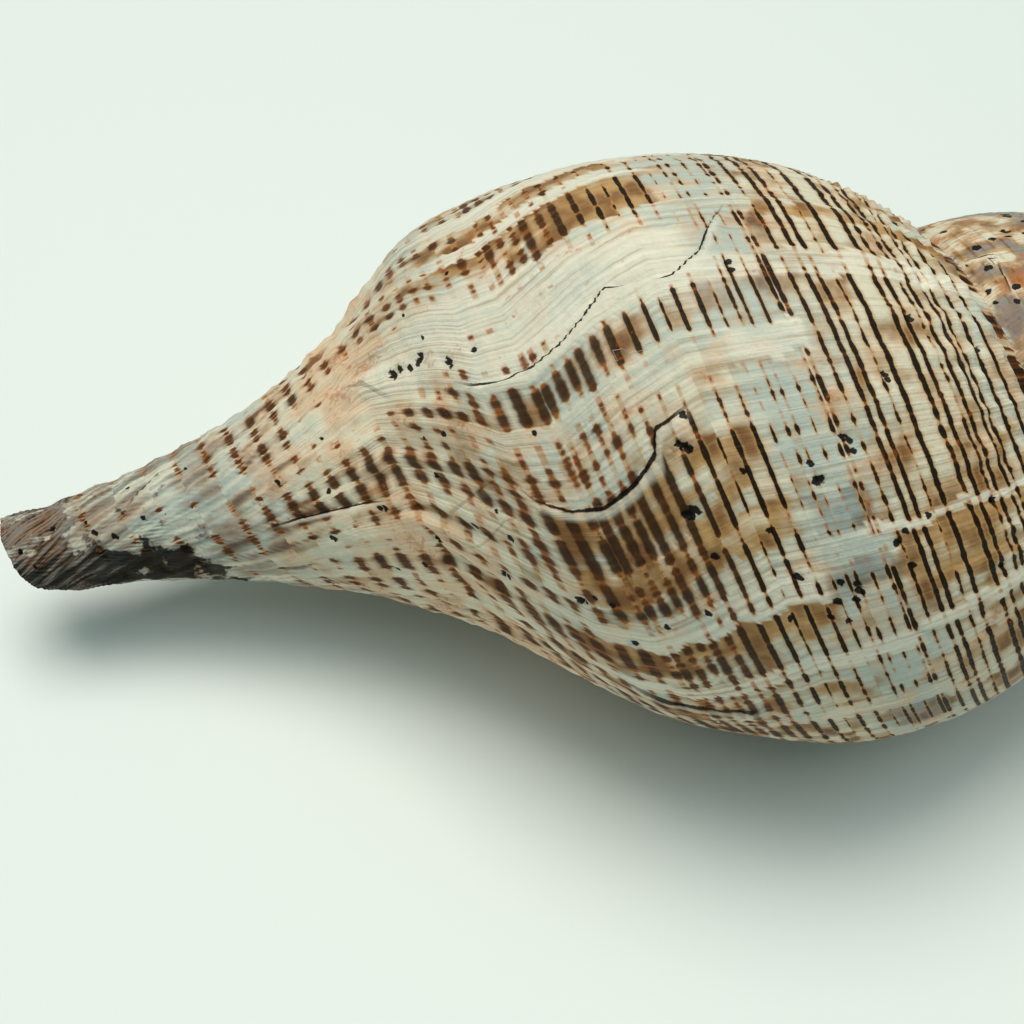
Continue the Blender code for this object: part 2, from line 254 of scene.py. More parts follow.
@dataclass(frozen=True)
class ShellForm:
    """The rule that the whole shell grew by, with the part's own sizes."""

    growth: float = 1.6
    length: float = 150.0
    suture_from_apex: float = 61.5
    # Distance from the apex and radius, from the suture to the tip of the canal
    profile: tuple = (
        (66.8, 27.4), (73.0, 31.9), (81.0, 35.1), (89.8, 36.4), (98.4, 35.7), (105.8, 33.2),
        (112.8, 28.6), (119.9, 18.8), (127.0, 12.1), (134.0, 7.9), (142.0, 5.2), (150.0, 4.0),
    )
    canal_starts: float = 0.42
    canal_ends: float = 1.0
    canal_lengthening: float = 0.1
    canal_widening: float = 0.1
    # How far each bend goes, the distance from the apex where it starts, and its length
    bend_back: tuple = (9.6, 80.0, 70.0)
    bend_side: tuple = (7.3, 70.0, 65.0)
    back_turn: float = -0.44
    lip_angle: float = 210.0
    spire_rise: float = 16.5
    apex_place: tuple = (74.5, -4.3, 43.0)
    first_turn: float = -6.5
    apex_share: float = 0.84

    @property
    def suture_station(self) -> float:
        """The station of one whorl on which the next whorl's suture lies."""
        return (self.growth - 1) * self.suture_from_apex / (self.length - self.suture_from_apex)

    def apex_reach(self) -> float:
        """Returns how far the first whorl's tip lies from the point that the whorls shrink to."""
        return self.suture_from_apex * self.growth**self.first_turn * self.apex_share

    def knots(self) -> tuple[Array, Array]:
        """Reads the profile.

        Returns:
            Distances from the apex and radii, with the suture's own first.
        """
        x, y = np.array(self.profile).T
        start = self.curve(x, y, np.array([self.suture_from_apex * self.growth]))[0] / self.growth
        return np.append(self.suture_from_apex, x), np.append(start, y)

    @staticmethod
    def curve(x: Array, y: Array, at: Array) -> Array:
        """A smooth curve through points.

        Args:
            x: the points' places.
            y: their heights.
            at: where the curve is wanted.

        Returns:
            The curve's heights there.
        """
        last = len(x) - 1
        before, after = np.maximum(np.arange(last + 1) - 1, 0), np.minimum(np.arange(last + 1) + 1, last)
        slope = (y[after] - y[before]) / (x[after] - x[before])
        i = np.clip(np.searchsorted(x, at) - 1, 0, last - 1)
        width = x[i + 1] - x[i]
        u = (at - x[i]) / width
        rise = y[i] * (1 + 2 * u) * (1 - u) ** 2 + y[i + 1] * u * u * (3 - 2 * u)
        return rise + width * (slope[i] * u * (1 - u) ** 2 - slope[i + 1] * u * u * (1 - u))

    def at_lip(self, station: Array) -> tuple[Array, Array, Array]:
        """Returns distance from the apex, radius and the canal's share of stations at the lip."""
        distance = self.suture_from_apex + (self.length - self.suture_from_apex) * np.asarray(station, float)
        return distance, self.curve(*self.knots(), distance), eased(station, self.canal_starts, self.canal_ends)

    def section(self, turn: Array, station: Array) -> tuple[Array, Array]:
        """Finds places on the profile before the canal is bent.

        Args:
            turn: the places' turns.
            station: their stations.

        Returns:
            Distance from the apex and radius.
        """
        distance, radius, blend = self.at_lip(station)
        lengthening = 1 + (self.canal_lengthening - 1) * blend
        widening = 1 + (self.canal_widening - 1) * blend
        return distance * self.growth ** (turn * lengthening), radius * self.growth ** (turn * widening)

    def spans(self, turn: float, station: float) -> Array:
        """Returns how long one turn and the whole profile would be, in millimetres, at the scale of a place."""
        distance, radius = self.section(turn, np.array([station, station + 0.01]))
        return np.array([FULL_TURN * radius[0], math.hypot(*np.diff([distance, radius])[:, 0]) / 0.01])

    def outward(self, turn: Array) -> Array:
        """Returns the directions away from the axis at turns."""
        angle = np.radians(self.lip_angle) + FULL_TURN * np.asarray(turn, float)
        return np.stack([np.zeros_like(angle), -np.cos(angle), np.sin(angle)], -1)

    def in_space(self, turn: Array, distance: Array, radius: Array) -> Array:
        """Finds points in space, bends of the canal included.

        Args:
            turn: the points' turns.
            distance: their distances from the apex.
            radius: their distances from the axis.

        Returns:
            The points in the shell's own axes, in millimetres.
        """
        back = self.bend_back[0] * np.maximum((distance - self.bend_back[1]) / self.bend_back[2], 0) ** 2
        side = self.bend_side[0] * eased(distance, self.bend_side[1], self.bend_side[1] + self.bend_side[2])
        points = self.outward(turn) * np.asarray(radius)[..., None]
        points = points + self.outward(self.back_turn) * back[..., None]
        points = points + self.outward(self.back_turn + 0.25) * side[..., None]
        points[..., 0] -= distance
        return points

    def laying(self) -> Matrix:
        """Returns the matrix from the shell's own axes to where it lies."""
        turned = Matrix.Rotation(-math.radians(self.spire_rise), 4, "Y")
        return Matrix.Translation(Vector(self.apex_place) * MM) @ turned


# How far the growing edge lags, in turns, from station to station: the shape of the old lip
LIP_SHAPE = (
    (0.0, 0.004), (0.08, 0.0), (0.36, 0.0), (0.44, -0.012), (0.52, -0.032), (0.56, -0.031), (0.60, -0.014),
    (0.66, 0.014), (0.71, 0.0), (0.76, -0.026), (0.80, -0.06), (0.86, -0.11), (0.92, -0.19), (1.0, -0.34),
)
# Stations of the spiral lines, and how dark each one is
SPIRAL_LINES = (
    (0.014, 0.2), (0.034, 0.8), (0.053, 0.85), (0.072, 0.7), (0.078, 0.6), (0.094, 0.9), (0.102, 0.3),
    (0.118, 1.0), (0.1295, 1.0), (0.158, 1.2), (0.1725, 0.3), (0.1895, 1.0), (0.201, 1.0), (0.219, 0.7),
    (0.2385, 0.75), (0.2427, 0.7), (0.2615, 0.35), (0.280, 0.45), (0.289, 0.6), (0.3055, 0.15), (0.323, 0.8),
    (0.346, 0.95), (0.3635, 0.15), (0.3816, 1.0), (0.4046, 0.85), (0.4295, 1.0), (0.4465, 0.6), (0.466, 0.8),
    (0.479, 0.45), (0.4935, 0.75), (0.509, 0.8), (0.517, 0.5), (0.5355, 0.9), (0.5537, 0.6), (0.572, 0.55),
    (0.585, 0.35), (0.598, 0.45), (0.611, 0.4), (0.627, 0.5), (0.643, 0.5), (0.660, 0.5), (0.678, 0.45),
    (0.697, 0.5), (0.716, 0.4), (0.735, 0.45), (0.756, 0.4), (0.778, 0.4), (0.802, 0.35), (0.828, 0.3),
    (0.856, 0.3), (0.886, 0.3), (0.918, 0.3), (0.952, 0.3), (1.0, 0.2),
)


class Stage(Enum):
    """A stretch of growth: how dark its lines are, how far tan fills it, how white and how smoky it is."""

    WHITE = (0.12, 0.0, 0.9, 0.0)
    PLAIN = (0.3, 0.0, 0.4, 0.1)
    FAINT = (0.5, 0.1, 0.15, 0.35)
    BEADED = (0.75, 0.15, 0.0, 0.1)
    LINED = (1.0, 0.35, 0.0, 0.15)
    WARM = (1.05, 0.7, 0.0, 0.0)
    BROWN = (1.05, 1.0, 0.0, 0.0)
    SMUDGED = (0.9, 0.5, 0.0, 1.0)


@dataclass(frozen=True)
class Band:
    """The stage that the shell was in between two turns, at its shoulder, at its middle and below it."""

    start: float
    end: float
    shoulder: Stage
    middle: Stage
    below: Stage


# The growth that the photograph shows, from old to new
SEEN_BANDS = (
    Band(-0.650, -0.611, Stage.LINED, Stage.FAINT, Stage.WARM),
    Band(-0.611, -0.594, Stage.LINED, Stage.SMUDGED, Stage.SMUDGED),
    Band(-0.594, -0.583, Stage.PLAIN, Stage.SMUDGED, Stage.LINED),
    Band(-0.583, -0.571, Stage.LINED, Stage.PLAIN, Stage.PLAIN),
    Band(-0.571, -0.549, Stage.WARM, Stage.LINED, Stage.WARM),
    Band(-0.549, -0.541, Stage.PLAIN, Stage.FAINT, Stage.LINED),
    Band(-0.541, -0.530, Stage.LINED, Stage.WHITE, Stage.WHITE),
    Band(-0.530, -0.521, Stage.WHITE, Stage.PLAIN, Stage.LINED),
    Band(-0.521, -0.510, Stage.LINED, Stage.LINED, Stage.WARM),
    Band(-0.510, -0.499, Stage.BROWN, Stage.LINED, Stage.BROWN),
    Band(-0.499, -0.484, Stage.BROWN, Stage.SMUDGED, Stage.WHITE),
    Band(-0.484, -0.475, Stage.BROWN, Stage.FAINT, Stage.BEADED),
    Band(-0.475, -0.470, Stage.WHITE, Stage.WHITE, Stage.LINED),
    Band(-0.470, -0.450, Stage.WARM, Stage.SMUDGED, Stage.BROWN),
    Band(-0.450, -0.441, Stage.WARM, Stage.LINED, Stage.LINED),
    Band(-0.441, -0.416, Stage.BEADED, Stage.BEADED, Stage.WARM),
    Band(-0.416, -0.391, Stage.LINED, Stage.BEADED, Stage.BEADED),
    Band(-0.391, -0.375, Stage.LINED, Stage.WHITE, Stage.PLAIN),
    Band(-0.375, -0.3525, Stage.BEADED, Stage.FAINT, Stage.LINED),
    Band(-0.3525, -0.338, Stage.WHITE, Stage.WHITE, Stage.WHITE),
    Band(-0.338, -0.319, Stage.LINED, Stage.FAINT, Stage.WHITE),
    Band(-0.319, -0.313, Stage.LINED, Stage.FAINT, Stage.FAINT),
    Band(-0.313, -0.301, Stage.BROWN, Stage.FAINT, Stage.PLAIN),
    Band(-0.301, -0.284, Stage.BEADED, Stage.PLAIN, Stage.BROWN),
    Band(-0.284, -0.266, Stage.LINED, Stage.BEADED, Stage.BROWN),
    Band(-0.266, -0.255, Stage.FAINT, Stage.FAINT, Stage.WHITE),
    Band(-0.255, -0.236, Stage.LINED, Stage.BEADED, Stage.BROWN),
)


@dataclass(frozen=True)
class Ledge:
    """A step left where the lip broke and grew again: the older shell stands proud along one line."""

    height: float
    line: tuple
    reach: float = 0.05

    def behind(self, turn: Array, station: Array) -> Array:
        """Returns how far, in turns, places lie on the older side of the line."""
        stations, turns = np.array(self.line).T
        return np.interp(station, stations, turns) - turn

    def away(self, turn: Array, station: Array) -> Array:
        """Measures how far places lie off the line.

        Args:
            turn: the places' turns.
            station: their stations.

        Returns:
            Millimetres, more than 0 on the older side.
        """
        stations, turns = np.array(self.line).T
        slope = np.interp(station, (stations[1:] + stations[:-1]) / 2, np.diff(turns) / np.diff(stations))
        return self.behind(turn, station) * AROUND / np.hypot(1, slope * AROUND / ACROSS)

    def inside(self, station: Array) -> Array:
        """Finds which places the line passes, with short ramps at its ends.

        Args:
            station: the places' stations.

        Returns:
            1 between the line's ends and 0 past them.
        """
        first, last = self.line[0][0], self.line[-1][0]
        ramp = min(0.03, (last - first) / 3)
        return eased(station, first, first + ramp) * (1 - eased(station, last - ramp, last))

    def relief(self, turn: Array, station: Array) -> Array:
        """Shapes the step and the narrow crack at its foot.

        Args:
            turn: the places' turns.
            station: their stations.

        Returns:
            Millimetres that places stand proud of the plain form.
        """
        behind = self.behind(turn, station)
        step = eased(behind, -0.001, 0.001) * np.clip(1 - behind / self.reach, 0, 1) ** 2
        crack = bump(behind, -0.0015, 0.004) * 0.25
        return self.height * self.inside(station) * (step - crack)


LEDGES = (
    Ledge(0.7, ((0.245, -0.303), (0.272, -0.317), (0.30, -0.335), (0.337, -0.346), (0.38, -0.3475),
                (0.414, -0.346), (0.449, -0.358), (0.478, -0.3675), (0.51, -0.375), (0.543, -0.379),
                (0.566, -0.3767), (0.59, -0.367))),
    Ledge(0.5, ((0.37, -0.404), (0.405, -0.411), (0.423, -0.414), (0.434, -0.425), (0.467, -0.437),
                (0.503, -0.4467), (0.533, -0.4475), (0.549, -0.444), (0.559, -0.441), (0.575, -0.423))),
    Ledge(0.45, ((0.445, -0.570), (0.466, -0.579), (0.52, -0.584), (0.551, -0.581), (0.563, -0.575),
                 (0.58, -0.560))),
    Ledge(0.2, ((0.63, -0.362), (0.645, -0.345), (0.652, -0.330), (0.67, -0.318), (0.69, -0.317))),
    Ledge(0.5, ((0.67, -0.434), (0.70, -0.437), (0.735, -0.446), (0.76, -0.454), (0.79, -0.470))),
    Ledge(0.15, ((0.57, -0.424), (0.60, -0.433), (0.63, -0.446), (0.65, -0.462))),
    Ledge(0.12, ((0.56, -0.447), (0.59, -0.452), (0.62, -0.470), (0.65, -0.478))),
    Ledge(0.35, ((0.82, -0.300), (0.84, -0.303), (0.86, -0.330), (0.875, -0.365), (0.885, -0.390))),
    Ledge(0.5, ((0.345, -1.3055), (0.365, -1.302), (0.38, -1.3035), (0.41, -1.300)), 0.02),
    Ledge(0.5, ((0.355, -1.313), (0.364, -1.324), (0.367, -1.334), (0.375, -1.345)), 0.02),
)


@dataclass(frozen=True)
class Pit:
    """A small hole bored in the old shell, placed by its pixel in the photograph."""

    x: float
    y: float
    width: float


# Widths are in millimetres
PITS = (
    Pit(727, 262, 0.7), Pit(730, 269, 0.7), Pit(446, 360, 0.9), Pit(449, 366, 0.7), Pit(394, 374, 1.1),
    Pit(400, 370, 0.9), Pit(409, 368, 0.7), Pit(417, 361, 1.0), Pit(419, 356, 0.9), Pit(472, 349, 0.7),
    Pit(421, 338, 0.5), Pit(404, 315, 0.4), Pit(447, 274, 0.5), Pit(321, 438, 0.5), Pit(444, 434, 0.7),
    Pit(423, 438, 0.4), Pit(435, 475, 0.6), Pit(329, 492, 0.6), Pit(277, 482, 0.6), Pit(382, 507, 0.6),
    Pit(437, 540, 0.7), Pit(335, 538, 0.7), Pit(397, 567, 0.7), Pit(477, 526, 0.6), Pit(496, 511, 0.5),
    Pit(510, 538, 0.8), Pit(505, 573, 0.8), Pit(509, 576, 0.6), Pit(426, 564, 0.6), Pit(579, 601, 0.8),
    Pit(584, 603, 0.7), Pit(613, 606, 0.6), Pit(596, 598, 0.5), Pit(683, 446, 1.0), Pit(687, 449, 0.9),
    Pit(688, 515, 1.1), Pit(693, 511, 1.0), Pit(716, 557, 0.8), Pit(744, 471, 0.6), Pit(770, 530, 0.6),
    Pit(683, 415, 0.7), Pit(536, 432, 0.5), Pit(908, 318, 0.8), Pit(885, 374, 0.7), Pit(887, 380, 0.6),
    Pit(810, 463, 0.6), Pit(817, 481, 0.8), Pit(823, 479, 0.7), Pit(845, 437, 0.8), Pit(850, 441, 0.6),
    Pit(853, 451, 0.6), Pit(797, 577, 0.8), Pit(857, 585, 0.7), Pit(860, 592, 0.8), Pit(856, 599, 0.7),
    Pit(840, 583, 0.7), Pit(838, 603, 0.8), Pit(848, 621, 0.6), Pit(832, 618, 0.6), Pit(790, 619, 0.6),
    Pit(912, 565, 0.6), Pit(898, 543, 0.7), Pit(905, 530, 0.6), Pit(930, 515, 0.6), Pit(1003, 565, 0.7),
    Pit(993, 500, 0.7), Pit(635, 645, 0.7), Pit(669, 627, 0.6), Pit(710, 613, 0.6), Pit(960, 298, 0.6),
    Pit(972, 318, 0.6), Pit(977, 349, 0.7), Pit(1008, 238, 0.6), Pit(965, 267, 0.6), Pit(145, 518, 0.6),
    Pit(52, 528, 0.7), Pit(86, 523, 0.4), Pit(94, 533, 0.7), Pit(115, 536, 0.7), Pit(20, 552, 0.7),
    Pit(130, 490, 0.5), Pit(185, 468, 0.4), Pit(36, 566, 0.4), Pit(386, 507, 0.7), Pit(1004, 230, 0.9),
    Pit(993, 240, 0.6), Pit(988, 292, 0.6), Pit(996, 303, 0.5), Pit(1016, 302, 0.6), Pit(984, 313, 0.6),
)
FIRST_PIT_DEPTH, PIT_DEPTH_SHARE = 0.25, 0.35
WIDE_PIT, PIT_RIM = 0.65, 0.35


@dataclass(frozen=True)
class Viewpoint:
    """Where the photograph was taken from, in millimetres and degrees."""

    place: tuple = (-29.6, -91.7, 126.6)
    azimuth: float = 5.8
    elevation: float = 51.1
    roll: float = 3.15
    lens: float = 49.0
    sensor: float = 36.0

    def axes(self) -> tuple[Vector, Vector, Vector]:
        """Works out how the camera is turned.

        Returns:
            The picture's right and up directions, and the way that the camera looks.
        """
        turned, raised, rolled = (math.radians(a) for a in (self.azimuth, self.elevation, self.roll))
        ahead = Vector((math.sin(turned) * math.cos(raised), math.cos(turned) * math.cos(raised), -math.sin(raised)))
        right = Vector((math.cos(turned), -math.sin(turned), 0))
        up = right.cross(ahead)
        sine, cosine = math.sin(rolled), math.cos(rolled)
        return right * cosine + up * sine, up * cosine - right * sine, ahead

    def ray(self, x: float, y: float) -> Vector:
        """Finds the direction in which a pixel of the photograph looks.

        Args:
            x: the pixel's place from the left.
            y: its place from the top.

        Returns:
            A direction of length 1.
        """
        right, up, ahead = self.axes()
        scale = self.sensor / (self.lens * PHOTO_SIDE)
        half = PHOTO_SIDE / 2
        return (ahead + right * (x - half) * scale + up * (half - y) * scale).normalized()

    def add_camera(self) -> None:
        """Puts the camera in the scene."""
        right, up, ahead = self.axes()
        camera = add_object("camera", bpy.data.cameras.new("camera"))
        camera.data.lens, camera.data.sensor_width = self.lens, self.sensor
        camera.data.clip_start = 1 * MM
        turned = Matrix((right, up, -ahead)).transposed().to_4x4()
        camera.matrix_world = Matrix.Translation(Vector(self.place) * MM) @ turned
        bpy.context.scene.camera = camera


@dataclass
class GrowthTree:
    """The Geometry Nodes tree that turns a profile round the axis while it grows."""

    form: ShellForm

    def build(self) -> bpy.types.NodeTree:
        """Builds the tree.

        Returns:
            A tree whose own geometry is a row of profile points, and whose Path is a row of turns.
        """
        form = self.form
        tree = bpy.data.node_groups.new("grown_whorl", "GeometryNodeTree")
        tree.interface.new_socket("Geometry", in_out="OUTPUT", socket_type="NodeSocketGeometry")
        tree.interface.new_socket("Geometry", in_out="INPUT", socket_type="NodeSocketGeometry")
        tree.interface.new_socket("Path", in_out="INPUT", socket_type="NodeSocketObject")
        sizes = {
            "Growth": form.growth,
            "Lip Angle": math.radians(form.lip_angle),
            "Canal Lengthening": form.canal_lengthening,
            "Canal Widening": form.canal_widening,
            "Back Angle": math.radians(form.lip_angle) + FULL_TURN * form.back_turn,
            "Bend Back": form.bend_back[0] * MM,
            "Bend Back From": form.bend_back[1] * MM,
            "Bend Back Over": form.bend_back[2] * MM,
            "Bend Side": form.bend_side[0] * MM,
            "Bend Side From": form.bend_side[1] * MM,
            "Bend Side Over": form.bend_side[2] * MM,
        }
        for name, value in sizes.items():
            socket = tree.interface.new_socket(name, in_out="INPUT", socket_type="NodeSocketFloat")
            socket.default_value = value
        tree.interface.new_socket("Material", in_out="INPUT", socket_type="NodeSocketMaterial")
        given = tree.nodes.new("NodeGroupInput").outputs
        add = partial(add_node, tree)

        path = add(Node.OBJECT, given["Path"])
        rows, columns = (add(Node.COUNT, line) for line in (given["Geometry"], path))
        grid = add(Node.GRID, columns, rows)
        index = add(Node.INDEX)
        column = add(Node.FLOOR, add(Node.DIVIDE, add(Node.ADD, index, 0.5), rows))
        row = add(Node.SUBTRACT, index, add(Node.MULTIPLY, column, rows))

        def carried(line: Any, name: str, place: Any) -> Any:
            """Reads a named value of a line at one of its points."""
            return add(Node.SAMPLE, line, add(Node.NAMED, name), place)

        station, axial, radial, canal = (
            carried(given["Geometry"], name, row) for name in ("station", "axial", "radial", "canal")
        )
        turn = carried(path, "turn", column)

        def grown(size: Any, share: Any) -> Any:
            """Grows a size with the turn, less so along the canal."""
            slowed = add(Node.MULTIPLY_ADD, canal, add(Node.SUBTRACT, share, 1.0), 1.0)
            return add(Node.MULTIPLY, size, add(Node.POWER, given["Growth"], add(Node.MULTIPLY, turn, slowed)))

        distance = grown(axial, given["Canal Lengthening"])
        radius = grown(radial, given["Canal Widening"])
        past = add(Node.DIVIDE, add(Node.SUBTRACT, distance, given["Bend Back From"]), given["Bend Back Over"])
        back = add(Node.MULTIPLY, given["Bend Back"], add(Node.POWER, add(Node.MAXIMUM, past, 0.0), 2.0))
        to_end = add(Node.ADD, given["Bend Side From"], given["Bend Side Over"])
        side = add(Node.RAMP, distance, given["Bend Side From"], to_end, 0.0, given["Bend Side"])
        angle = add(Node.MULTIPLY_ADD, turn, FULL_TURN, given["Lip Angle"])
        sideways = add(Node.ADD, given["Back Angle"], math.pi / 2)
        y, z = (add(Node.MULTIPLY, add(share, angle), radius) for share in (Node.COSINE, Node.SINE))
        for reach, way in ((back, given["Back Angle"]), (side, sideways)):
            y = add(Node.MULTIPLY_ADD, add(Node.COSINE, way), reach, y)
            z = add(Node.MULTIPLY_ADD, add(Node.SINE, way), reach, z)
        place = add(Node.PLACE, add(Node.MULTIPLY, distance, -1.0), add(Node.MULTIPLY, y, -1.0), z)
        shape = add(Node.MOVE, grid, place)
        for name, value in (("turn", turn), ("station", station)):
            shape = add(Node.STORE, shape, name, value)
        add(Node.OUTPUT, add(Node.DRESS, add(Node.REALIZE, shape), given["Material"]))
        return tree


@dataclass(frozen=True)
class ShellFinish:
    """Weathered aragonite shell: chalky cream with a little of its old porcelain shine.

    Dark pigment was laid down in thin spiral lines while the edge grew, in pulses, so that the lines break into
    dashes that stand side by side. Tan fills some stages. Sun and sand have bleached and pitted the surface.
    """

    cream: str = "E2D6BC"
    bluish: str = "C0C4B6"
    peach: str = "E1BB97"
    chalk: str = "ECE2CC"
    # Chalk is also the painted highlight on the rims of the cracks
    olive: str = "8F8766"
    tan: str = "C4965C"
    brown: str = "85562C"
    # The line colour is also the painted shade in the cracks and the pits
    line: str = "0F0906"
    line_brown: str = "562B10"
    rust: str = "BE6120"
    slate: str = "46515A"
    moss: str = "0D0C09"
    old_brown: str = "855C34"
    old_grey: str = "8B7F77"
    old_tan: str = "C99A68"
    roughness: float = 0.5

    def build(self) -> bpy.types.Material:
        """Builds the material of the outside.

        Returns:
            The material.
        """
        material, add = new_material("weathered_aragonite")

        def total(*terms: tuple[Any, float]) -> Any:
            """Adds up values, each with its own weight.

            Args:
                *terms: pairs of a value and its weight.

            Returns:
                The sum.
            """
            result: Any = 0.0
            for value, weight in terms:
                result = add(Node.MULTIPLY_ADD, value, weight, result)
            return result

        def laid(colour: Any, *layers: tuple[Any, tuple, float, float, float]) -> Any:
            """Lays colours over one another, each where its own weighted sum is high enough.

            Args:
                colour: the colour underneath.
                *layers: for each one its colour, pairs of a value and its weight, the sums at which the layer sets
                    in and is at its fullest, and its share there.

            Returns:
                The mixed colour.
            """
            for tint, terms, start, end, most in layers:
                share = add(Node.MULTIPLY, add(Node.RAMP, total(*terms), start, end), most)
                colour = add(Node.BLEND, colour, linear(tint) if isinstance(tint, str) else tint, share)
            return colour

        flat, lines, holes = (
            add(Node.PARTS, add(Node.MAP, uv_map=name)).node.outputs for name in (FLAT_MAP, LINE_MAP, PIT_MAP)
        )
        across, grown = add(Node.MULTIPLY, flat[1], AROUND), add(Node.MULTIPLY, lines[0], AROUND)
        cord = add(Node.MULTIPLY, lines[1], CORD_SCALE)
        cell, nearest = add(Node.FLOOR, cord), add(Node.ROUND, cord)
        names = "ink tan white slate pitch breadth soft pulse age cool stain base tipped ledge torn slim".split()
        ink, tan, white, slate, pitch, breadth, soft, pulse, age, cool, stain, base, tipped, ledge, torn, slim = (
            add(Node.CARRIED, attribute_name=name) for name in names
        )

        # In space, in cells for each millimetre: clouds are some 6 mm wide, mottles and patches 3, grains 0.4
        spot = add(Node.SPOT)
        cloud, mottle, patches, grain = (
            add(Node.NOISE, spot, scale / MM, detail)
            for scale, detail in ((0.17, 2.0), (0.3, 2.0), (0.42, 3.0), (2.4, 1.0))
        )
        # Along the growth, in cells for each millimetre: fine and coarse growth lines, blocks of one tint, and the
        # beads and dashes of each spiral line. A turn of the slim canal is so short that it takes the coarse ones
        fine, coarse, block, bead, dash = (
            add(
                Node.FLAT_NOISE,
                add(Node.PLACE, add(Node.MULTIPLY, grown, per_mm), add(Node.MULTIPLY, other, step)),
                1.0,
                detail,
            )
            for per_mm, other, step, detail in (
                (2.0, across, 0.07, 2.0),
                (0.4, across, 0.2, 2.0),
                (0.24, cell, 3.37, 1.0),
                (1.05, nearest, 7.31, 1.0),
                (0.21, nearest, 3.77, 1.0),
            )
        )
        growth = add(Node.MIX, fine, coarse, slim)

        # The ground: cool in the troughs of growth, cream on its crests, and a tint for each cord
        colour = laid(
            linear(self.cream),
            (self.bluish, ((cool, 1.0), (cloud, 1.1), (growth, -0.9), (pulse, -0.5), (block, 0.9)), 0.0, 0.75, 1.0),
            (self.peach, ((mottle, 1.0), (base, 0.12), (block, 0.3), (tan, 0.1)), 0.58, 0.84, 0.85),
            (self.olive, ((block, 1.0), (mottle, 0.8), (tan, 0.15), (white, -0.8), (base, -0.1)), 0.9, 1.25, 0.6),
            (self.chalk, ((white, 1.0), (growth, 0.6), (mottle, 0.8)), 0.9, 1.7, 0.85),
        )
        # Tan and brown between the lines, in blocks that stop along growth lines, then smoke and thin growth lines
        earth = laid(linear(self.tan), (self.brown, ((block, 1.0), (mottle, 1.4)), 1.05, 1.5, 1.0))
        filled = ((tan, 0.95), (block, 1.7), (pulse, -0.9), (mottle, 1.1), (white, -0.5))
        colour = laid(
            colour,
            (earth, filled, 1.2, 1.85, 0.9),
            (self.slate, ((slate, 0.75), (mottle, 1.0), (block, 0.7), (pulse, -0.5)), 0.85, 1.3, 0.5),
            (self.tan, ((growth, -1.0), (cloud, -0.15)), -0.46, -0.36, 0.3),
        )

        # Dark spiral lines, on whole numbers of the cord coordinate, with a halo and a faint trace
        apart = add(Node.MULTIPLY, add(Node.ABSOLUTE, add(Node.SUBTRACT, cord, nearest)), pitch)
        score = total((ink, 1.0), (dash, 1.1), (bead, 1.2), (grain, 0.25))
        present = add(Node.RAMP, score, 1.5, 2.1)
        width = add(Node.MULTIPLY, add(Node.MULTIPLY, breadth, present), total((bead, 1.1), (ink, 0.2), (0.42, 1.0)))
        spread = total((grain, 0.12), (width, 1.0), (apart, -1.0), (-0.06, 1.0))
        drawn = add(Node.RAMP, spread, total((soft, -0.22), (-0.06, 1.0)), 0.06)
        drawn = add(Node.MULTIPLY, add(Node.RAMP, present, 0.0, 0.2), drawn)
        halo = add(Node.MULTIPLY, present, add(Node.RAMP, spread, total((soft, -0.3), (-0.45, 1.0)), 0.05))
        trace = add(Node.RAMP, add(Node.SUBTRACT, breadth, apart), -0.1, 0.12)
        trace = add(Node.MULTIPLY, add(Node.RAMP, score, 1.15, 1.6), trace)
        rusty = add(Node.RAMP, total((score, -1.0), (soft, 0.25), (bead, -0.6)), -2.6, -1.9)
        pigment = add(Node.BLEND, linear(self.line), linear(self.line_brown), rusty)
        pigment = laid(pigment, (self.rust, ((rusty, 1.0), (bead, -1.2)), 0.3, 0.7, 0.55))
        amber = laid(linear(self.tan), (self.rust, ((bead, 1.0),), 0.4, 0.65, 1.0))
        earthen = add(Node.BLEND, linear(self.tan), linear(self.brown), soft)
        darkest = total((soft, -0.14), (0.97, 1.0))
        for tint, share, most in ((amber, trace, 0.7), (earthen, halo, 0.6), (pigment, drawn, darkest)):
            colour = add(Node.BLEND, colour, tint, add(Node.MULTIPLY, share, most))

        # The old whorls, worn to brown and grey
        worn = laid(
            linear(self.old_brown),
            (self.old_tan, ((patches, 1.0),), 0.36, 0.5, 1.0),
            (self.cream, ((patches, 1.0), (growth, 0.25)), 0.6, 0.74, 1.0),
            (self.old_grey, ((cloud, 1.0), (patches, -0.4)), 0.26, 0.42, 1.0),
            (self.rust, ((mottle, 1.0), (patches, -0.6)), 0.3, 0.5, 0.35),
        )
        colour = add(Node.BLEND, colour, worn, add(Node.MULTIPLY, age, 0.8))

        # The fine relief is darker where it is low, as painted shade, mixed with random tone from clouds and patches;
        # then come rust spots and dirt
        aged = (add(Node.MULTIPLY, growth, age), -0.4), (add(Node.MULTIPLY, patches, age), 0.4)
        shade_and_tone = total((growth, 0.75), *aged, (grain, 0.3), (cloud, 0.3), (base, 0.22), (0.36, 1.0))
        colour = add(Node.DARKEN, colour, add(Node.PLACE, shade_and_tone, shade_and_tone, shade_and_tone), total((age, 0.3), (0.5, 1.0)))
        rust_spots = ((mottle, 1.0), (grain, 0.5), (base, 0.1), (age, 0.08), (pulse, 0.12))
        colour = laid(colour, (self.rust, rust_spots, 1.0, 1.16, 0.5))
        dirty = total((stain, 1.7), (patches, 3.4), (growth, 0.9), (grain, 0.5), (cloud, 0.6))
        dirty = add(Node.RAMP, dirty, 3.8, 4.15)
        earthy = laid(linear(self.brown), (self.old_grey, ((growth, 1.0),), 0.4, 0.65, 1.0))
        dry = ((cloud, 0.7), (growth, 0.9), (tipped, 0.25), (stain, -0.2))
        dirt = laid(linear(self.moss), (earthy, dry, 0.72, 1.0, 1.0))
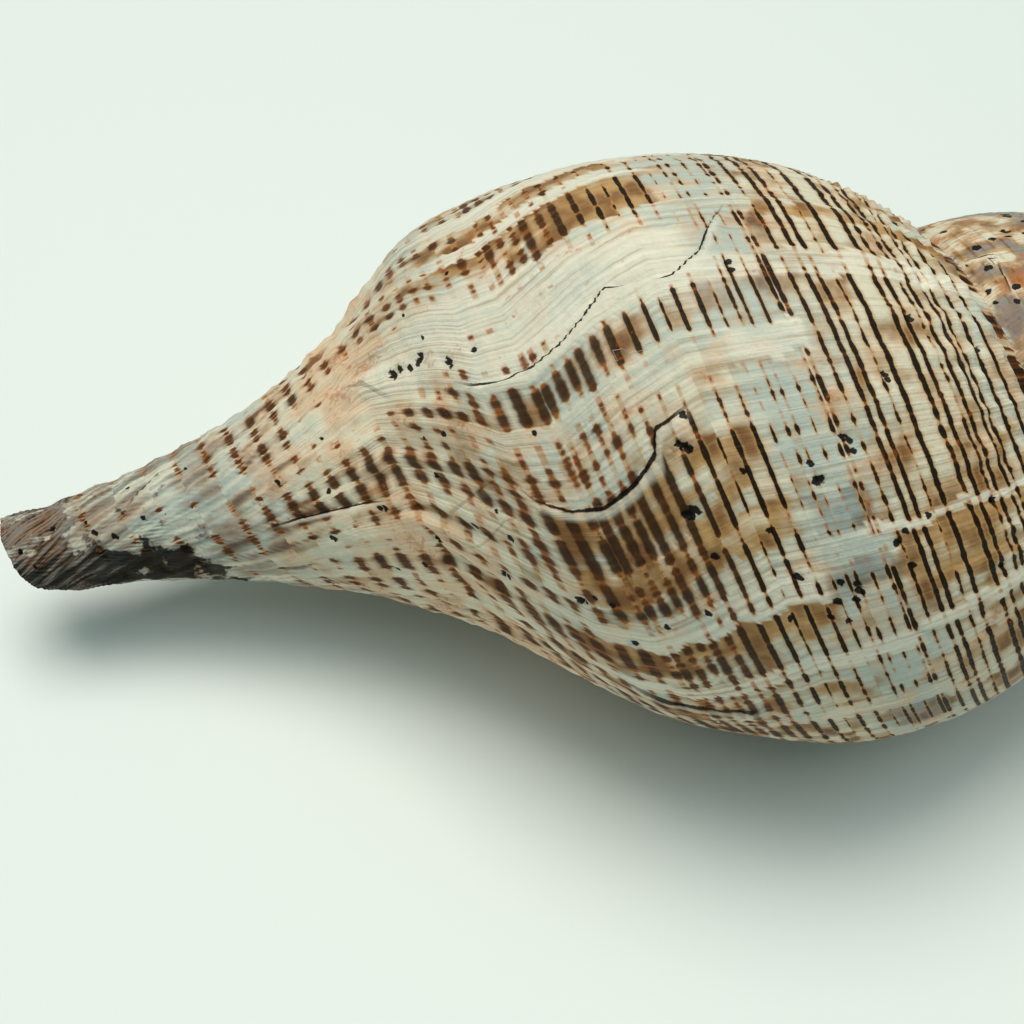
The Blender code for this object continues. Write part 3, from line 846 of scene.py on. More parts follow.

        # Cracks where the lip once broke: a dark line of painted shade in the crack, and a bright rim on the older
        # side, a painted highlight where that side stands proud
        rough_edge = add(Node.MULTIPLY_ADD, grain, 0.15, ledge)
        gap = total((cloud, 0.5), (grain, 0.1), (-0.1, 1.0))
        closed = add(Node.RAMP, add(Node.ABSOLUTE, rough_edge), add(Node.MULTIPLY, gap, 0.6), gap)
        crack_shade = add(Node.MULTIPLY, add(Node.SUBTRACT, 1.0, closed), torn)
        rim = add(Node.SUBTRACT, 1.0, add(Node.RAMP, rough_edge, 0.6, 1.3))
        for share in (add(Node.RAMP, rough_edge, 0.1, 0.35), torn, torn):
            rim = add(Node.MULTIPLY, rim, share)

        # Pits: bored holes with ragged edges, and a scatter of tiny ones on the old whorls, all filled with
        # near-black painted shade
        wobble, away = add(Node.PLACE, grain, growth, 0.0), add(Node.PLACE, holes[0], holes[1], 0.0)
        away = add(Node.VECTOR_MULTIPLY_ADD, wobble, (1.6, 1.6, 0.0), away)
        far = add(Node.LENGTH, add(Node.VECTOR_SUBTRACT, away, (0.8, 0.8, 0.0)))
        bored = add(Node.SUBTRACT, 1.0, add(Node.RAMP, far, 0.8, 1.1))
        tiny = add(Node.CELLS, spot, 0.45 / MM, 1.0)
        reach = total((age, 0.24), (cloud, 0.3), (grain, 0.16), (base, 0.04), (stain, 0.08), (tiny, -1.0))
        pit_shade = add(Node.MAXIMUM, bored, add(Node.RAMP, reach, 0.265, 0.295))

        # Dirt, then the painted highlight on the rims, painted shade in the cracks and painted shade in the pits
        dark, chalk = linear(self.line), linear(self.chalk)
        for tint, share, most in ((dirt, dirty, 0.93), (chalk, rim, 0.6), (dark, crack_shade, 0.96), (dark, pit_shade, 0.97)):
            colour = add(Node.BLEND, colour, tint, add(Node.MULTIPLY, share, most))

        # Relief too fine for the mesh: growth lines and a sandy grain
        normal = add(Node.BUMP, total((growth, 0.6), (grain, 0.3)), 0.65, 0.3 * MM)
        rough = total((growth, 0.25), (dirty, 0.2), (self.roughness - 0.12, 1.0))
        add(Node.FINISH, add(Node.SURFACE, colour, rough, normal, 0.1))
        return material


@dataclass(frozen=True)
class PorcelainFinish:
    """The glazed inside: smooth cream enamel that turns peach in the depth."""

    cream: str = "EFE3CF"
    peach: str = "DDAE86"
    roughness: float = 0.28

    def build(self) -> bpy.types.Material:
        """Builds the material of the inside, the lip's edge and the channel.

        Returns:
            The material.
        """
        material, add = new_material("nacreless_porcelain")
        spot = add(Node.SPOT)
        # Clouds about 8 mm wide, and faint growth waves about 1.5 mm apart
        cloud, wave = add(Node.NOISE, spot, 0.12 / MM, 4.0), add(Node.NOISE, spot, 0.65 / MM, 2.0)
        colour = add(Node.BLEND, linear(self.cream), linear(self.peach), add(Node.SLOPE, cloud, 0.4, 0.7))
        normal = add(Node.BUMP, wave, 0.25, 0.2 * MM)
        add(Node.FINISH, add(Node.SURFACE, colour, self.roughness, normal, 0.5, 0.3))
        return material


@dataclass(frozen=True)
class Surface:
    """What the shell looks like from place to place: its pattern, its wear and its relief."""

    form: ShellForm
    seed: int = 11
    # Turns of growth past the lip that the pattern is made for, and how long one stage lasts
    spare_growth: float = 0.4
    stage_turns: tuple = (0.008, 0.026)
    # From where to where, as stations, one zone of the profile turns into the next
    shoulder_fades: tuple = (0.085, 0.12)
    middle_starts: tuple = (0.222, 0.236)
    below_starts: tuple = (0.300, 0.325)
    base_starts: tuple = (0.54, 0.60)
    canal_relief: tuple = (0.66, 0.8)
    canal_colour: tuple = (0.62, 0.75)
    slim_part: tuple = (0.66, 0.82)
    tip: tuple = (0.91, 0.95)
    # The middle station of a zone and its reach on both sides
    rough_base: tuple = (0.66, 0.1)
    base_colour: tuple = (0.665, 0.1)
    cool_middle: tuple = (0.27, 0.09)
    # Where the shell turns old, in turns before the lip
    old_growth: tuple = (0.97, 1.06)
    # Millimetres along a cord from one bead to the next
    bead_length: float = 3.4

    def lag(self, station: Array) -> Array:
        """Returns how far the growing edge lags at stations, in turns."""
        stations, turns = np.array(LIP_SHAPE).T
        return np.interp(station, stations, turns)

    def cord(self, station: Array) -> Array:
        """Returns the cord coordinate: a whole number on each spiral line."""
        stations = np.array([line[0] for line in SPIRAL_LINES])
        return np.interp(station, stations, np.arange(1, len(stations) + 1))

    def darkness(self, station: Array) -> Array:
        """Returns how dark the nearest spiral lines are."""
        stations, depths = np.array(SPIRAL_LINES).T
        return np.interp(station, stations, depths)

    def pitch(self, station: Array) -> Array:
        """Measures how far apart the spiral lines are.

        Args:
            station: the places' stations.

        Returns:
            Millimetres.
        """
        stations = np.array([line[0] for line in SPIRAL_LINES])
        middles, gaps = (stations[1:] + stations[:-1]) / 2, np.diff(stations) * ACROSS
        return np.interp(station, middles, gaps)

    def pulse(self, turn: Array, station: Array) -> Array:
        """Gives the rhythm of growth.

        Args:
            turn: the places' turns.
            station: their stations.

        Returns:
            0 in the troughs to 1 on the pale crests.
        """
        grown = (turn - self.lag(station)) * AROUND
        quick = noise(grown * 0.85, station * 8, 31)
        slow = noise(grown * 0.24, station * 4, 32)
        return 0.72 * quick + 0.28 * slow

    def bands(self) -> list[Band]:
        """Completes what the photograph shows with more of its kind all round.

        Returns:
            The bands, from old to new.
        """
        chance = np.random.default_rng(self.seed)
        stages = (Stage.WHITE, Stage.FAINT, Stage.BEADED, Stage.LINED, Stage.WARM, Stage.BROWN, Stage.SMUDGED)
        likely = (0.2, 0.12, 0.16, 0.22, 0.12, 0.12, 0.06)
        whole = list(SEEN_BANDS)

        def fill(start: float, end: float) -> None:
            """Adds bands between two turns.

            Args:
                start: the older turn.
                end: the newer turn.
            """
            while start < end:
                stop = min(end, start + float(chance.uniform(*self.stage_turns)))
                picks = [stages[int(chance.choice(len(stages), p=likely))] for _ in range(3)]
                whole.append(Band(start, stop, *picks))
                start = stop

        fill(SEEN_BANDS[-1].end, self.spare_growth)
        fill(self.form.first_turn, SEEN_BANDS[0].start)
        return sorted(whole, key=lambda band: band.start)

    def stages(self, turn: Array, station: Array) -> Array:
        """Reads the growth stages.

        Args:
            turn: the places' turns.
            station: their stations.

        Returns:
            The four values of the stage that each place is in, with the zones blended.
        """
        bands = self.bands()
        grown = turn - self.lag(station)
        grown = grown + 0.006 * (noise(station * 45, grown * 30, 5) - 0.5)
        starts = np.array([band.start for band in bands])
        which = np.clip(np.searchsorted(starts, grown) - 1, 0, len(bands) - 1)
        shoulder, middle, below = (
            np.array([getattr(band, zone).value for band in bands])[which] for zone in ("shoulder", "middle", "below")
        )
        to_middle = eased(station, *self.middle_starts)[..., None]
        to_below = eased(station, *self.below_starts)[..., None]
        mixed = shoulder * (1 - to_middle) + middle * to_middle
        mixed = mixed * (1 - to_below) + below * to_below
        to_base = 0.7 * eased(station, *self.base_starts)[..., None]
        return mixed * (1 - to_base) + np.array(Stage.BEADED.value) * to_base

    def relief(self, turn: Array, station: Array) -> Array:
        """Shapes the cords, growth ridges, ledges and rough base.

        Args:
            turn: the places' turns.
            station: their stations.

        Returns:
            Millimetres that places stand proud of the plain form.
        """
        grown = (turn - self.lag(station)) * AROUND
        cord = self.cord(station)
        white = self.stages(turn, station)[..., 2]
        shoulder = 1 - eased(station, *self.shoulder_fades)
        base = bump(station, *self.rough_base)
        canal = eased(station, *self.canal_relief)
        crest = 0.5 - 0.5 * np.cos(FULL_TURN * cord)
        beads = 0.65 + 0.35 * np.sin(grown * FULL_TURN / self.bead_length + 7 * noise(cord * 3, grown * 0.15, 9))
        lift = crest * (0.07 + 0.6 * shoulder * beads + 0.3 * base * beads + 0.22 * canal * beads)
        lift = lift - 0.2 * shoulder + 0.16 * eased(self.pulse(turn, station), 0.45, 0.8)
        lift = lift + 0.12 * white
        # Fine and coarse growth ridges, broad swells, and the rough base and canal: height, cells for each
        # millimetre round the shell, cells from suture to tip, and seed
        for height, per_mm, along, seed in (
            (0.12 * (1 + 1.4 * base), 1.1, 22, 1),
            (0.16 * (1 + 0.9 * base), 0.42, 9, 2),
            (0.4, 0.12, 5, 3),
            (0.9 * (base + 0.4 * canal), 0.45, 38, 4),
        ):
            lift = lift + height * (noise(grown * per_mm, station * along, seed) - 0.5)
        for ledge in LEDGES:
            lift = lift + ledge.relief(turn, station)
        suture = eased(station, 0.0, 0.012)
        under = 1 - eased(station, self.form.suture_station - 0.012, self.form.suture_station)
        size = np.maximum(self.form.growth ** np.minimum(turn, 0), 0.12)
        return lift * suture * np.where(turn < -1, under, 1.0) * size

    def values(self, turn: Array, station: Array) -> dict[str, Array]:
        """Works out the values that the finish reads.

        Args:
            turn: the places' turns.
            station: their stations.

        Returns:
            An array for each name.
        """
        ink, tan, white, slate = np.moveaxis(self.stages(turn, station), -1, 0)
        age = eased(-turn, *self.old_growth)
        base = bump(station, *self.base_colour)
        canal = eased(station, *self.canal_colour)
        middle = bump(station, *self.cool_middle)
        soft = eased(station, 0.36, 0.47)
        cool = 0.1 + 0.55 * middle + 0.3 * (noise(turn * 12, station * 6, 21) - 0.5)
        cool = cool - 0.35 * bump(station, 0.12, 0.09) - 0.5 * base
        zone = eased(station, 0.2, 0.235)
        pulse = self.pulse(turn, station)
        ink = ink * self.darkness(station) * (1 - 0.3 * canal) * (1 - 0.7 * age)
        ink = ink + 0.7 * (noise(turn * 26, station * 18, 41) - 0.5) * (0.25 + base + 0.6 * canal) * (1 - white)
        white = white * (0.55 + 0.7 * noise(turn * 30, station * 14, 42))
        written = ink + (0.5 - pulse) * (0.6 + 1.9 * zone) + 0.15 - 0.6 * (1 - eased(ink, 0.0, 0.15))
        written = written + 0.25 * (1 - eased(station, *self.shoulder_fades)) * (1 - age)
        tan = tan * (1 - 0.6 * middle) * (1 - 0.4 * canal) - 0.2 * base
        # Dirt on the canal: on its far side, towards its end and on the tip
        underside = eased(-turn, 0.44, 0.53) * (1 - eased(-turn, 0.62, 0.72)) * eased(station, 0.81, 0.85)
        tipped = eased(station, *self.tip)
        stain = 0.6 * underside + 0.45 * eased(station, 0.72, 0.93) + 0.4 * tipped + 0.1 * age
        ledge, torn = np.full_like(turn, 9.0), np.zeros_like(turn)
        for step in LEDGES:
            away = step.away(turn, station)
            closer = (np.abs(away) < np.abs(ledge)) & (step.inside(station) > 0)
            ledge = np.where(closer, away, ledge)
            torn = np.where(closer, step.inside(station) * min(1.0, 2 * step.height), torn)
        # The bleached patch beside the largest ledge
        patch = eased(turn, -0.372, -0.352) * (1 - eased(turn, -0.325, -0.30))
        patch = patch * eased(station, 0.27, 0.33) * (1 - eased(station, 0.64, 0.68))
        white = np.maximum(white * (1 - 0.6 * age), 0.8 * patch)
        return {
            "ink": written - 0.9 * patch,
            "tan": tan * (1 - 0.8 * patch),
            "white": white,
            "slate": slate * (0.4 + 0.6 * middle) * (1 - canal) + 0.8 * eased(station, 0.7, 0.85),
            "pitch": self.pitch(station),
            "breadth": (0.125 + 0.12 * self.darkness(station)) * (1 + 0.5 * soft),
            "soft": soft,
            "pulse": pulse,
            "age": age,
            "cool": cool,
            "stain": stain,
            "tipped": tipped,
            "slim": eased(station, *self.slim_part),
            "base": base,
            "ledge": ledge,
            "torn": torn,
        }


@dataclass
class TulipShell:
    """The whole shell: its whorls, its hollow, its lip and its finish."""

    form: ShellForm
    surface: Surface
    view: Viewpoint
    # The grid of the body whorl is finest between the turns that the photograph shows
    seen_turns: tuple = (-0.72, -0.16)
    seen_columns: int = 232
    hidden_columns: tuple = (36, 52)
    suture_rows: int = 96
    side_rows: int = 48
    canal_rows: int = 58
    side_end: float = 0.62
    # The wall's thickness at the lip, and how much thicker it is than one turn before
    wall: float = 1.8
    wall_growth: float = 1.3
    callus: float = 0.4
    hollow_turns: tuple = (-1.75, 0.04)
    hollow_steps: int = 110
    # First and last station and number of points on each side of the hollow
    outer_side: tuple = (0.05, 0.74, 30)
    inner_side: tuple = (0.74, 0.45, 16)
    # Distance from the apex, distance from the axis and radius along the channel of the canal
    channel: tuple = ((112, 12.5, 3.2), (122, 8.6, 2.6), (134, 4.4, 2.0), (144, 2.4, 1.7), (156, 1.9, 1.7))
    channel_turn: float = -0.02
    channel_sides: int = 24
    channel_rings: int = 40
    hidden_pits: int = 60
    hidden_pit_stations: tuple = (0.05, 0.75)
    hidden_pit_radii: tuple = (0.2, 0.5)
    # A face further than this from the apex lies on the body whorl
    body_from: float = 60.0
    merge_distance: float = 0.02
    sharp_angle: float = 50.0

    def columns(self) -> Array:
        """Places the columns of one whorl.

        Returns:
            Turns, closest together on the side that is seen.
        """
        first, last = self.seen_turns
        return np.concatenate([
            np.linspace(-1, first, self.hidden_columns[0], endpoint=False),
            np.linspace(first, last, self.seen_columns, endpoint=False),
            np.linspace(last, 0, self.hidden_columns[1] + 1),
        ])

    def rows(self) -> Array:
        """Places the rows of the body whorl.

        Returns:
            Stations, from suture to tip.
        """
        suture = self.form.suture_station
        return np.concatenate([
            np.linspace(0, suture, self.suture_rows, endpoint=False),
            np.linspace(suture, self.side_end, self.side_rows, endpoint=False),
            np.linspace(self.side_end, 1, self.canal_rows + 1),
        ])

    def line_object(self, name: str, values: dict[str, Array]) -> bpy.types.Object:
        """Makes a row of points that carry named values.

        Args:
            name: the object's name.
            values: an array for each value that the points carry.

        Returns:
            The row, in the scene.
        """
        count = len(next(iter(values.values())))
        mesh = bpy.data.meshes.new(name)
        mesh.from_pydata([(0, 0, 0)] * count, [(i, i + 1) for i in range(count - 1)], [])
        for key, numbers in values.items():
            mesh.attributes.new(key, "FLOAT", "POINT").data.foreach_set("value", np.asarray(numbers, np.float32))
        return add_object(name, mesh)

    def whorl(self, tree: bpy.types.NodeTree, name: str, turns: Array, stations: Array) -> bpy.types.Mesh:
        """Grows one whorl.

        Args:
            tree: the growth tree.
            name: the whorl's name.
            turns: the turns of its columns.
            stations: the stations of its rows.

        Returns:
            Its plain mesh, which carries the turn and station of each point.
        """
        distance, radius, canal = self.form.at_lip(stations)
        profile = self.line_object(
            name, {"station": stations, "axial": distance * MM, "radial": radius * MM, "canal": canal}
        )
        path = self.line_object(name + "_path", {"turn": turns})
        modifier = profile.modifiers.new("growth", "NODES")
        modifier.node_group = tree
        sockets = {item.name: item.identifier for item in tree.interface.items_tree if item.in_out == "INPUT"}
        modifier[sockets["Path"]] = path
        mesh = applied(profile)
        for used in (profile, path):
            bpy.data.objects.remove(used)
        return mesh

    def add_maps(self, mesh: bpy.types.Mesh) -> None:
        """Gives each face corner its place in the flat lay-out and among the spiral lines.

        Args:
            mesh: a plain whorl.
        """
        corners = gathered(mesh.loops, "vertex_index", np.int32)
        turn, station = self.read(mesh, "turn")[corners], self.read(mesh, "station")[corners]
        grown = turn - self.surface.lag(station)
        flat = np.stack([turn, station * ACROSS / AROUND], -1)
        lines = np.stack([grown, self.surface.cord(station) / CORD_SCALE], -1)
        for name, place in ((FLAT_MAP, flat), (LINE_MAP, lines)):
            mesh.uv_layers.new(name=name).data.foreach_set("uv", place.astype(np.float32).ravel())

    @staticmethod
    def read(mesh: bpy.types.Mesh, name: str) -> Array:
        """Returns a value that each point of a mesh carries."""
        return gathered(mesh.attributes[name].data, "value").astype(float)

    def sewn_whorls(self) -> bmesh.types.BMesh:
        """Grows all whorls and sews each one to the next along the suture.

        Returns:
            The open skin of the shell, in its own axes.
        """
        tree = GrowthTree(self.form).build()
        columns, rows = self.columns(), self.rows()
        suture_rows = rows[: self.suture_rows + 1]
        whole = bmesh.new()
        # Each old whorl is smaller, so every second or fourth column and row is enough
        plans = [("body", columns, rows, False)]
        for age, step, split in ((1, 2, True), (2, 2, False), (3, 4, True), (4, 4, False), (5, 8, True)):
            plans.append((f"whorl_{age}", columns[::step] - age, suture_rows[::step], split))
        start = np.searchsorted(columns[::8], self.form.first_turn + 6 - SAME_PLACE)
        plans.append(("apex", columns[::8][start:] - 6, suture_rows[::8], False))
        for name, turns, stations, split in plans:
            mesh = self.whorl(tree, name, turns, stations)
            self.add_maps(mesh)
            part = bmesh.new()
            part.from_mesh(mesh)
            if split:
                self.split_seams(part, turns, stations)
            part.to_mesh(mesh)
            part.free()
            whole.from_mesh(mesh)
            bpy.data.meshes.remove(mesh)
        bmesh.ops.remove_doubles(whole, verts=whole.verts, dist=self.merge_distance * MM)
        return whole

    def split_seams(self, part: bmesh.types.BMesh, turns: Array, stations: Array) -> None:
        """Halves the edges of a whorl that meet the finer rows and columns of the next one.

        Args:
            part: the whorl.
            turns: the turns of its columns.
            stations: the stations of its rows.
        """
        turn_of, station_of = part.verts.layers.float["turn"], part.verts.layers.float["station"]

        def on(vert: bmesh.types.BMVert, layer: Any, value: float) -> bool:
            """Tells if a point lies on a column or a row."""
            return abs(vert[layer] - value) < SAME_PLACE

        seam = [
            edge
            for edge in part.edges
            if all(on(vert, turn_of, turns[-1]) for vert in edge.verts)
            or all(on(vert, station_of, stations[-1]) for vert in edge.verts)
        ]
        bmesh.ops.subdivide_edges(part, edges=seam, cuts=1)

    def placed_pits(self, skin: bmesh.types.BMesh) -> list[tuple[float, float, float]]:
        """Finds the pits' places on the shell.

        Args:
            skin: the sewn whorls, in the shell's own axes.

        Returns:
            Turn, station and radius of each pit that falls on the shell.
        """
        tree = BVHTree.FromBMesh(skin)
        flat = skin.loops.layers.uv[FLAT_MAP]
        back = self.form.laying().inverted()
        eye = back @ (Vector(self.view.place) * MM)
        found = []
        skin.faces.ensure_lookup_table()
        for pit in PITS:
            way = back.to_3x3() @ self.view.ray(pit.x, pit.y)
            hit, _, index, _ = tree.ray_cast(eye, way)
            if hit is None:
                continue
            corners = skin.faces[index].loops
            weights = [1 / ((loop.vert.co - hit).length + SAME_POINT) for loop in corners]
            place = sum((loop[flat].uv * w for loop, w in zip(corners, weights)), Vector((0, 0))) / sum(weights)
            found.append((place.x, place.y * AROUND / ACROSS, pit.width / 2))
        chance = np.random.default_rng(self.surface.seed)
        for _ in range(self.hidden_pits):
            turn = chance.choice([chance.uniform(-1.0, self.seen_turns[0]), chance.uniform(self.seen_turns[1], 0.0)])
            station = float(chance.uniform(*self.hidden_pit_stations))
            found.append((float(turn), station, float(chance.uniform(*self.hidden_pit_radii))))
        return found

    def add_pit_map(self, mesh: bpy.types.Mesh, pits: list) -> None:
        """Gives each face corner its place relative to the pit nearest its face, in radii of that pit.

        Args:
            mesh: the raised whorls.
            pits: turn, station and radius of each pit.
        """
        flat = np.stack([self.read(mesh, "turn"), self.read(mesh, "station")], -1)
        sides = gathered(mesh.polygons, "loop_total", np.int32)
        corners = gathered(mesh.loops, "vertex_index", np.int32)
        firsts = np.concatenate([[0], np.cumsum(sides)[:-1]])
        middles = np.add.reduceat(flat[corners], firsts) / sides[:, None]
        places = np.array([pit[:2] for pit in pits])
        spans = np.array([self.form.spans(*pit[:2]) for pit in pits])
        radii = np.array([pit[2] for pit in pits])
        best, nearest = np.full(len(middles), np.inf), np.zeros(len(middles), int)
        for i, place in enumerate(places):
            gap = np.hypot(*((middles - place) * spans[i]).T) - radii[i]
            nearest = np.where(gap < best, i, nearest)
            best = np.minimum(best, gap)
        chosen = np.repeat(nearest, sides)
        away = (flat[corners] - places[chosen]) * spans[chosen] / radii[chosen][:, None]
        mesh.uv_layers.new(name=PIT_MAP).data.foreach_set("uv", away.astype(np.float32).ravel())

    def raise_relief(self, mesh: bpy.types.Mesh, pits: list) -> None:
        """Lifts the surface's relief out of the plain whorls and stores what the finish reads.

        Args:
            mesh: the sewn whorls.
            pits: turn, station and radius of each pit.
        """
        turn, station = self.read(mesh, "turn"), self.read(mesh, "station")
        lift = self.surface.relief(turn, station)
        for at, height, radius in pits:
            around, along = self.form.spans(at, height)
            away = np.hypot((turn - at) * around, (station - height) * along)
            if radius * 2 >= WIDE_PIT:
                lift = lift - (FIRST_PIT_DEPTH + radius * PIT_DEPTH_SHARE) * bump(away, 0, radius + PIT_RIM)
        # The places are in metres, and the normals point out of the shell
        places = gathered(mesh.vertices, "co", width=3).reshape(-1, 3)
        normals = gathered(mesh.vertex_normals, "vector", width=3).reshape(-1, 3)
        moved = places + normals * (lift[:, None] * MM)
        mesh.vertices.foreach_set("co", moved.astype(np.float32).ravel())
        for name, values in self.surface.values(turn, station).items():
            mesh.attributes.new(name, "FLOAT", "POINT").data.foreach_set("value", values.astype(np.float32))
        mesh.update()

    def close_ends(self, skin: bmesh.types.BMesh) -> None:
        """Fills the lip, the end of the canal and the apex.

        Args:
            skin: the raised whorls.
        """
        turn_of, station_of = skin.verts.layers.float["turn"], skin.verts.layers.float["station"]
        rim = {vert for edge in skin.edges if edge.is_boundary for vert in edge.verts}
        lip = sorted((v for v in rim if abs(v[turn_of]) < SAME_PLACE), key=lambda v: v[station_of])
        suture = self.form.suture_station
        parietal = [v for v in rim if abs(v[turn_of] + 1) < SAME_PLACE and v[station_of] > suture + 10 * SAME_PLACE]
        parietal.sort(key=lambda v: v[station_of])
        suture_end = Vector(self.form.in_space(0.0, *self.form.section(0.0, 0.0)) * MM)
        corner = min(rim, key=lambda v: (v.co - suture_end).length)
        if lip[0] is not corner:
            lip.insert(0, corner)
        faces = [skin.faces.new((lip[0], lip[1], parietal[0]))]
        left, right = lip[1:], parietal
        i = j = 0
        while i < len(left) - 1 or j < len(right) - 1:
            past_left = (left[i + 1].co - right[j].co).length if i < len(left) - 1 else math.inf
            past_right = (left[i].co - right[j + 1].co).length if j < len(right) - 1 else math.inf
            if past_left <= past_right:
                faces.append(skin.faces.new((left[i], left[i + 1], right[j])))
                i += 1
            else:
                faces.append(skin.faces.new((left[i], right[j + 1], right[j])))
                j += 1
        for face in faces:
            face.material_index = 1
        filled = bmesh.ops.holes_fill(skin, edges=[e for e in skin.edges if e.is_boundary], sides=0)["faces"]
        for face in filled:
            face.material_index = 0
        middles = bmesh.ops.poke(skin, faces=filled)["verts"]
        apex = max(middles, key=lambda vert: vert.co.x)
        apex.co = Vector((-self.form.apex_reach() * MM, 0, 0))

    def tube(self, name: str, rings: Array) -> bpy.types.Object:
        """Makes a closed tube that cuts the shell.

        Args:
            name: the object's name.
            rings: rings of points, in millimetres.

        Returns:
            The hidden cutter.
        """
        tube = bmesh.new()
        rows = [[tube.verts.new(Vector(point) * MM) for point in ring] for ring in rings]
        for low, high in zip(rows, rows[1:]):
            for i in range(len(low)):
                j = (i + 1) % len(low)
                tube.faces.new((low[i], low[j], high[j], high[i]))
        bmesh.ops.poke(tube, faces=[tube.faces.new(rows[0]), tube.faces.new(rows[-1])])
        bmesh.ops.recalc_face_normals(tube, faces=tube.faces)
        if tube.calc_volume(signed=True) < 0:
            bmesh.ops.reverse_faces(tube, faces=tube.faces)
        for face in tube.faces:
            face.material_index = 1
            face.smooth = True
        mesh = bpy.data.meshes.new(name)
        tube.to_mesh(mesh)
        tube.free()
        return add_object(name, mesh)

    def hollow(self) -> bpy.types.Object:
        """Makes the room that the animal filled, between the newest wall and the whorl before it.

        Returns:
            The cutter.
        """
        form = self.form

        def off_wall(turn: float, station: Array, depth: float) -> tuple[Array, Array]:
            """Finds places inside the profile.

            Args:
                turn: the turn of the section.
                station: the stations on its profile.
                depth: how deep inside it, in millimetres.

            Returns:
                Distances from the apex and radii.
            """
            here, ahead = form.section(turn, station), form.section(turn, station + 0.01)
            along = np.stack([ahead[0] - here[0], ahead[1] - here[1]])
            along = along / np.hypot(*along)
            return here[0] + along[1] * depth, here[1] - along[0] * depth

        outer = np.linspace(*self.outer_side[:2], self.outer_side[2])
        inner = np.linspace(*self.inner_side[:2], self.inner_side[2])
        rings = []
        for turn in np.linspace(self.hollow_turns[1], self.hollow_turns[0], self.hollow_steps):
            wall = off_wall(turn, outer, self.wall * self.wall_growth**turn)
            core = off_wall(turn - 1, inner, -self.callus)
            distance = np.append(wall[0], core[0])
            rings.append(form.in_space(np.full_like(distance, turn), distance, np.append(wall[1], core[1])))
        return self.tube("hollow", np.array(rings))

    def canal_channel(self) -> bpy.types.Object:
        """Makes the open channel along the canal, a round rod half sunk in the face of the lip.

        Returns:
            The cutter.
        """
        form = self.form
        knots = np.array(self.channel, float)
        along = np.linspace(knots[0, 0], knots[-1, 0], self.channel_rings)
        out, side = form.outward(self.channel_turn), form.outward(self.channel_turn + 0.25)
        angles = np.linspace(0, FULL_TURN, self.channel_sides, endpoint=False)
        ring = np.cos(angles)[:, None] * out + np.sin(angles)[:, None] * side
        rings = []
        for distance in along:
            away, radius = (np.interp(distance, knots[:, 0], knots[:, i]) for i in (1, 2))
            centre = form.in_space(np.array(self.channel_turn), np.array(distance), np.array(away))
            rings.append(centre + ring * radius)
        return self.tube("channel", np.array(rings))

    def cut(self, piece: bpy.types.Object, cutter: bpy.types.Object) -> None:
        """Cuts a helper out of the shell and removes the helper.

        Args:
            piece: the shell.
            cutter: the helper.
        """
        modifier = piece.modifiers.new(cutter.name, "BOOLEAN")
        modifier.operation, modifier.solver, modifier.object = "DIFFERENCE", "MANIFOLD", cutter
        piece.data = applied(piece)
        bpy.data.objects.remove(cutter)

    @staticmethod
    def rest_on_floor(mesh: bpy.types.Mesh) -> None:
        """Wears the crests flat where the shell rests on the floor.

        Args:
            mesh: the shell, as it lies.
        """
        places = gathered(mesh.vertices, "co", width=3)
        places[2::3] = np.maximum(places[2::3], 0)
        mesh.vertices.foreach_set("co", places)

    def build(self) -> bpy.types.Object:
        """Builds the shell.

        Returns:
            The finished piece, in place.
        """
        skin = self.sewn_whorls()
        bmesh.ops.recalc_face_normals(skin, faces=skin.faces)
        middle = next(f for f in skin.faces if f.calc_center_median().x < -self.body_from * MM)
        centre = Vector((middle.calc_center_median().x, 0, 0))
        if middle.normal.dot(middle.calc_center_median() - centre) < 0:
            bmesh.ops.reverse_faces(skin, faces=skin.faces)
        pits = self.placed_pits(skin)
        LOG.info("whorls: %d points, %d pits placed", len(skin.verts), len(pits))
        mesh = bpy.data.meshes.new("tulip_shell")
        skin.to_mesh(mesh)
        self.raise_relief(mesh, pits)
        self.add_pit_map(mesh, pits)
        skin.clear()
        skin.from_mesh(mesh)
        self.close_ends(skin)
        bmesh.ops.recalc_face_normals(skin, faces=skin.faces)
        if skin.calc_volume(signed=True) < 0:
            bmesh.ops.reverse_faces(skin, faces=skin.faces)
        for face in skin.faces:
            face.smooth = True
        LOG.info("open edges: %d", sum(not edge.is_manifold for edge in skin.edges))
        skin.to_mesh(mesh)
        skin.free()
        mesh.materials.append(ShellFinish().build())
        mesh.materials.append(PorcelainFinish().build())
        piece = add_object("tulip_shell", mesh)
        self.cut(piece, self.hollow())
        self.cut(piece, self.canal_channel())
        piece.data.transform(self.form.laying())
        self.rest_on_floor(piece.data)
        piece.data.set_sharp_from_angle(angle=math.radians(self.sharp_angle))
        count = sum(len(polygon.vertices) - 2 for polygon in piece.data.polygons)
        LOG.info("tulip_shell: %d triangles", count)
        return piece


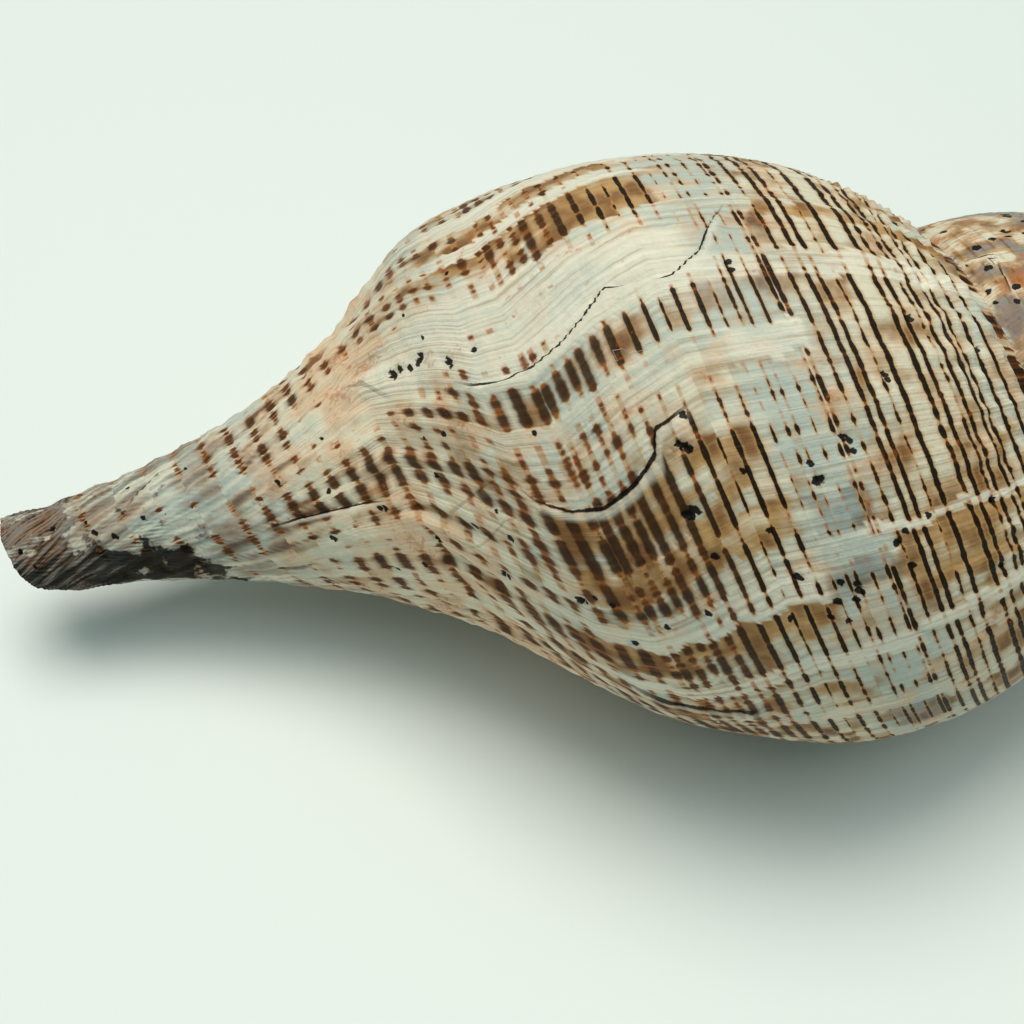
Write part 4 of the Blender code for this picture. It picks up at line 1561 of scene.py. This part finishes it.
@dataclass(frozen=True)
class Studio:
    """A plain pale floor, soft light from behind on the left, and the camera."""

    view: Viewpoint
    floor_colour: str = "F4F6F0"
    floor_roughness: float = 0.6
    floor_side: float = 4.0
    sky_colour: str = "B8DEE2"
    sky_strength: float = 0.28

    def add_floor(self) -> None:
        """Adds the floor, plain painted board."""
        mesh = bpy.data.meshes.new("floor")
        half = self.floor_side / 2
        mesh.from_pydata([(-half, -half, 0), (half, -half, 0), (half, half, 0), (-half, half, 0)], [], [(0, 1, 2, 3)])
        floor = add_object("floor", mesh)
        material = bpy.data.materials.new("painted_board")
        material.use_nodes = True
        surface = material.node_tree.nodes["Principled BSDF"]
        surface.inputs["Base Color"].default_value = linear(self.floor_colour)
        surface.inputs["Roughness"].default_value = self.floor_roughness
        mesh.materials.append(material)

    def add_light(self, name: str, place: tuple, size: float, power: float, tint: str) -> None:
        """Adds a square light that faces the shell.

        Args:
            name: the light's name.
            place: where it hangs, in metres.
            size: its side, in metres.
            power: its power, in watts.
            tint: its colour.
        """
        lamp = bpy.data.lights.new(name, "AREA")
        lamp.size, lamp.energy, lamp.color = size, power, linear(tint)[:3]
        light = add_object(name, lamp)
        light.location = place
        light.rotation_euler = (-Vector(place)).to_track_quat("-Z", "Y").to_euler()

    def build(self) -> None:
        """Adds all of it to the scene."""
        self.add_floor()
        self.add_light("key", (-0.11, 0.15, 0.86), 0.5, 4.2, "FFF9EE")
        self.add_light("sky", (0.0, 0.0, 1.1), 1.1, 5.0, "E9F7F9")
        world = bpy.data.worlds.new("studio")
        world.use_nodes = True
        background = world.node_tree.nodes["Background"]
        background.inputs["Color"].default_value = linear(self.sky_colour)
        background.inputs["Strength"].default_value = self.sky_strength
        bpy.context.scene.world = world
        bpy.context.scene.view_settings.view_transform = "Standard"
        self.view.add_camera()


def main() -> None:
    """Builds the shell and its studio, and reports each piece."""
    logging.basicConfig(level=logging.INFO, format="%(name)s: %(message)s")
    form, view = ShellForm(), Viewpoint()
    Studio(view).build()
    shell = TulipShell(form, Surface(form), view).build()
    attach(shell, "root")
    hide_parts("shell")


if __name__ == "__main__":
    main()
